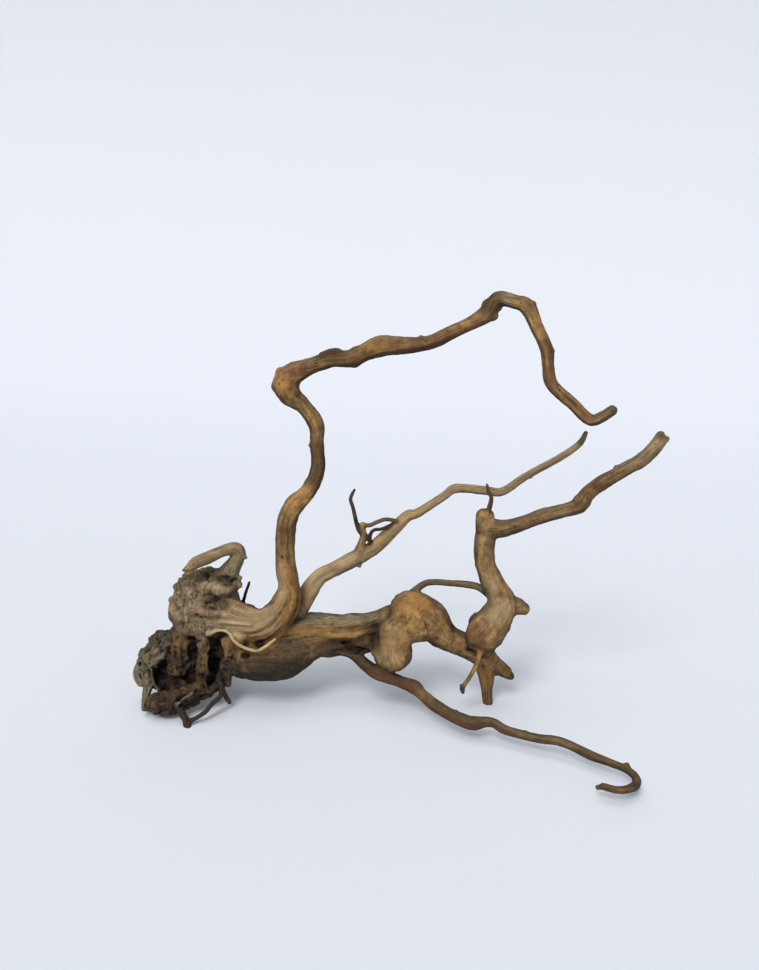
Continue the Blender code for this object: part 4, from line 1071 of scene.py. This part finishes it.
def make_stage():
    profile = [(FLOOR_NEAR, 0.0)]
    for i in range(BEND_STEPS + 1):
        angle = math.pi / 2 * i / BEND_STEPS
        profile.append((FLOOR_FAR + BEND_RADIUS * math.sin(angle), BEND_RADIUS * (1 - math.cos(angle))))
    profile.append((FLOOR_FAR + BEND_RADIUS, WALL_TOP))
    points = [(x, y, z) for y, z in profile for x in (-SWEEP_HALF_WIDTH, SWEEP_HALF_WIDTH)]
    faces = [(2 * i, 2 * i + 1, 2 * i + 3, 2 * i + 2) for i in range(len(profile) - 1)]
    data = bpy.data.meshes.new("sweep")
    data.from_pydata(points, [], faces)
    for polygon in data.polygons:
        polygon.use_smooth = True
    sweep = bpy.data.objects.new("sweep", data)
    bpy.context.collection.objects.link(sweep)
    material = bpy.data.materials.new("pale_sweep")
    material.use_nodes = True
    n = Nodes(material)
    shader = n.tree.nodes["Principled BSDF"]
    shader.inputs["Base Color"].default_value = shade(*SWEEP_TONE)
    shader.inputs["Roughness"].default_value = 0.7
    shader.inputs["Specular IOR Level"].default_value = 0.1
    height = n.add("ShaderNodeSeparateXYZ", {0: n.add("ShaderNodeTexCoord").outputs["Object"]}).outputs["Z"]
    shader.inputs["Emission Color"].default_value = GLOW_TONE
    glow = n.between(height, GLOW_FROM, GLOW_TO, FLOOR_GLOW, WALL_GLOW)
    n.tree.links.new(glow, shader.inputs["Emission Strength"])
    data.materials.append(material)


DAYLIGHT = (0.90, 0.95, 1.0, 1)
DAYLIGHT_STRENGTH = 0.4

# Lights: name, way to the light, softness, strength and colour
LIGHTS = [
    ("key", (-0.40, -0.85, 1.1), 22, 2.2, (1.0, 0.98, 0.95)),
    ("top", (-0.30, -0.10, 1.2), 45, 1.0, (1.0, 0.99, 0.97)),
]


def add_light(name, way_to_light, softness, strength, colour):
    """Parallel light, as from a large lamp far off. Softness is how wide the lamp looks, in degrees."""
    data = bpy.data.lights.new(name, "SUN")
    data.angle = math.radians(softness)
    data.energy = strength
    data.color = colour
    light = bpy.data.objects.new(name, data)
    light.rotation_euler = Vector(way_to_light).to_track_quat("Z", "Y").to_euler()
    bpy.context.collection.objects.link(light)


def make_light():
    world = bpy.data.worlds.new("soft daylight")
    world.use_nodes = True
    background = world.node_tree.nodes["Background"]
    background.inputs["Color"].default_value = DAYLIGHT
    background.inputs["Strength"].default_value = DAYLIGHT_STRENGTH
    bpy.context.scene.world = world
    for light in LIGHTS:
        add_light(*light)


# The camera, as worked out from the photograph: place in mm on the measuring grid, angles and focal length
CAMERA_PLACE = (77.3, -526.1, 402.8)
CAMERA_DIP = math.radians(17.01)
CAMERA_ROLL = math.radians(3.11)
FOCAL_PIXELS = 860
IMAGE_HEIGHT = 970
SENSOR = 36


def make_camera():
    data = bpy.data.cameras.new("camera")
    data.sensor_width = SENSOR
    data.lens = FOCAL_PIXELS / IMAGE_HEIGHT * SENSOR
    data.clip_start = 0.01
    camera = bpy.data.objects.new("camera", data)
    ahead = Vector((0, math.cos(CAMERA_DIP), -math.sin(CAMERA_DIP)))
    up = Vector((0, math.sin(CAMERA_DIP), math.cos(CAMERA_DIP)))
    right = Vector((1, 0, 0))
    turned_right = right * math.cos(CAMERA_ROLL) + up * math.sin(CAMERA_ROLL)
    turned_up = up * math.cos(CAMERA_ROLL) - right * math.sin(CAMERA_ROLL)
    turn = Matrix((turned_right, turned_up, -ahead)).transposed().to_4x4()
    x, y, z = CAMERA_PLACE
    place = Vector((x - GRID_MIDDLE[0], y - GRID_MIDDLE[1], z)) * MM
    camera.matrix_world = Matrix.Translation(place) @ turn
    bpy.context.collection.objects.link(camera)
    bpy.context.scene.camera = camera


make_camera()
make_light()
make_stage()
make_root()
bpy.context.scene.view_settings.view_transform = "Standard"
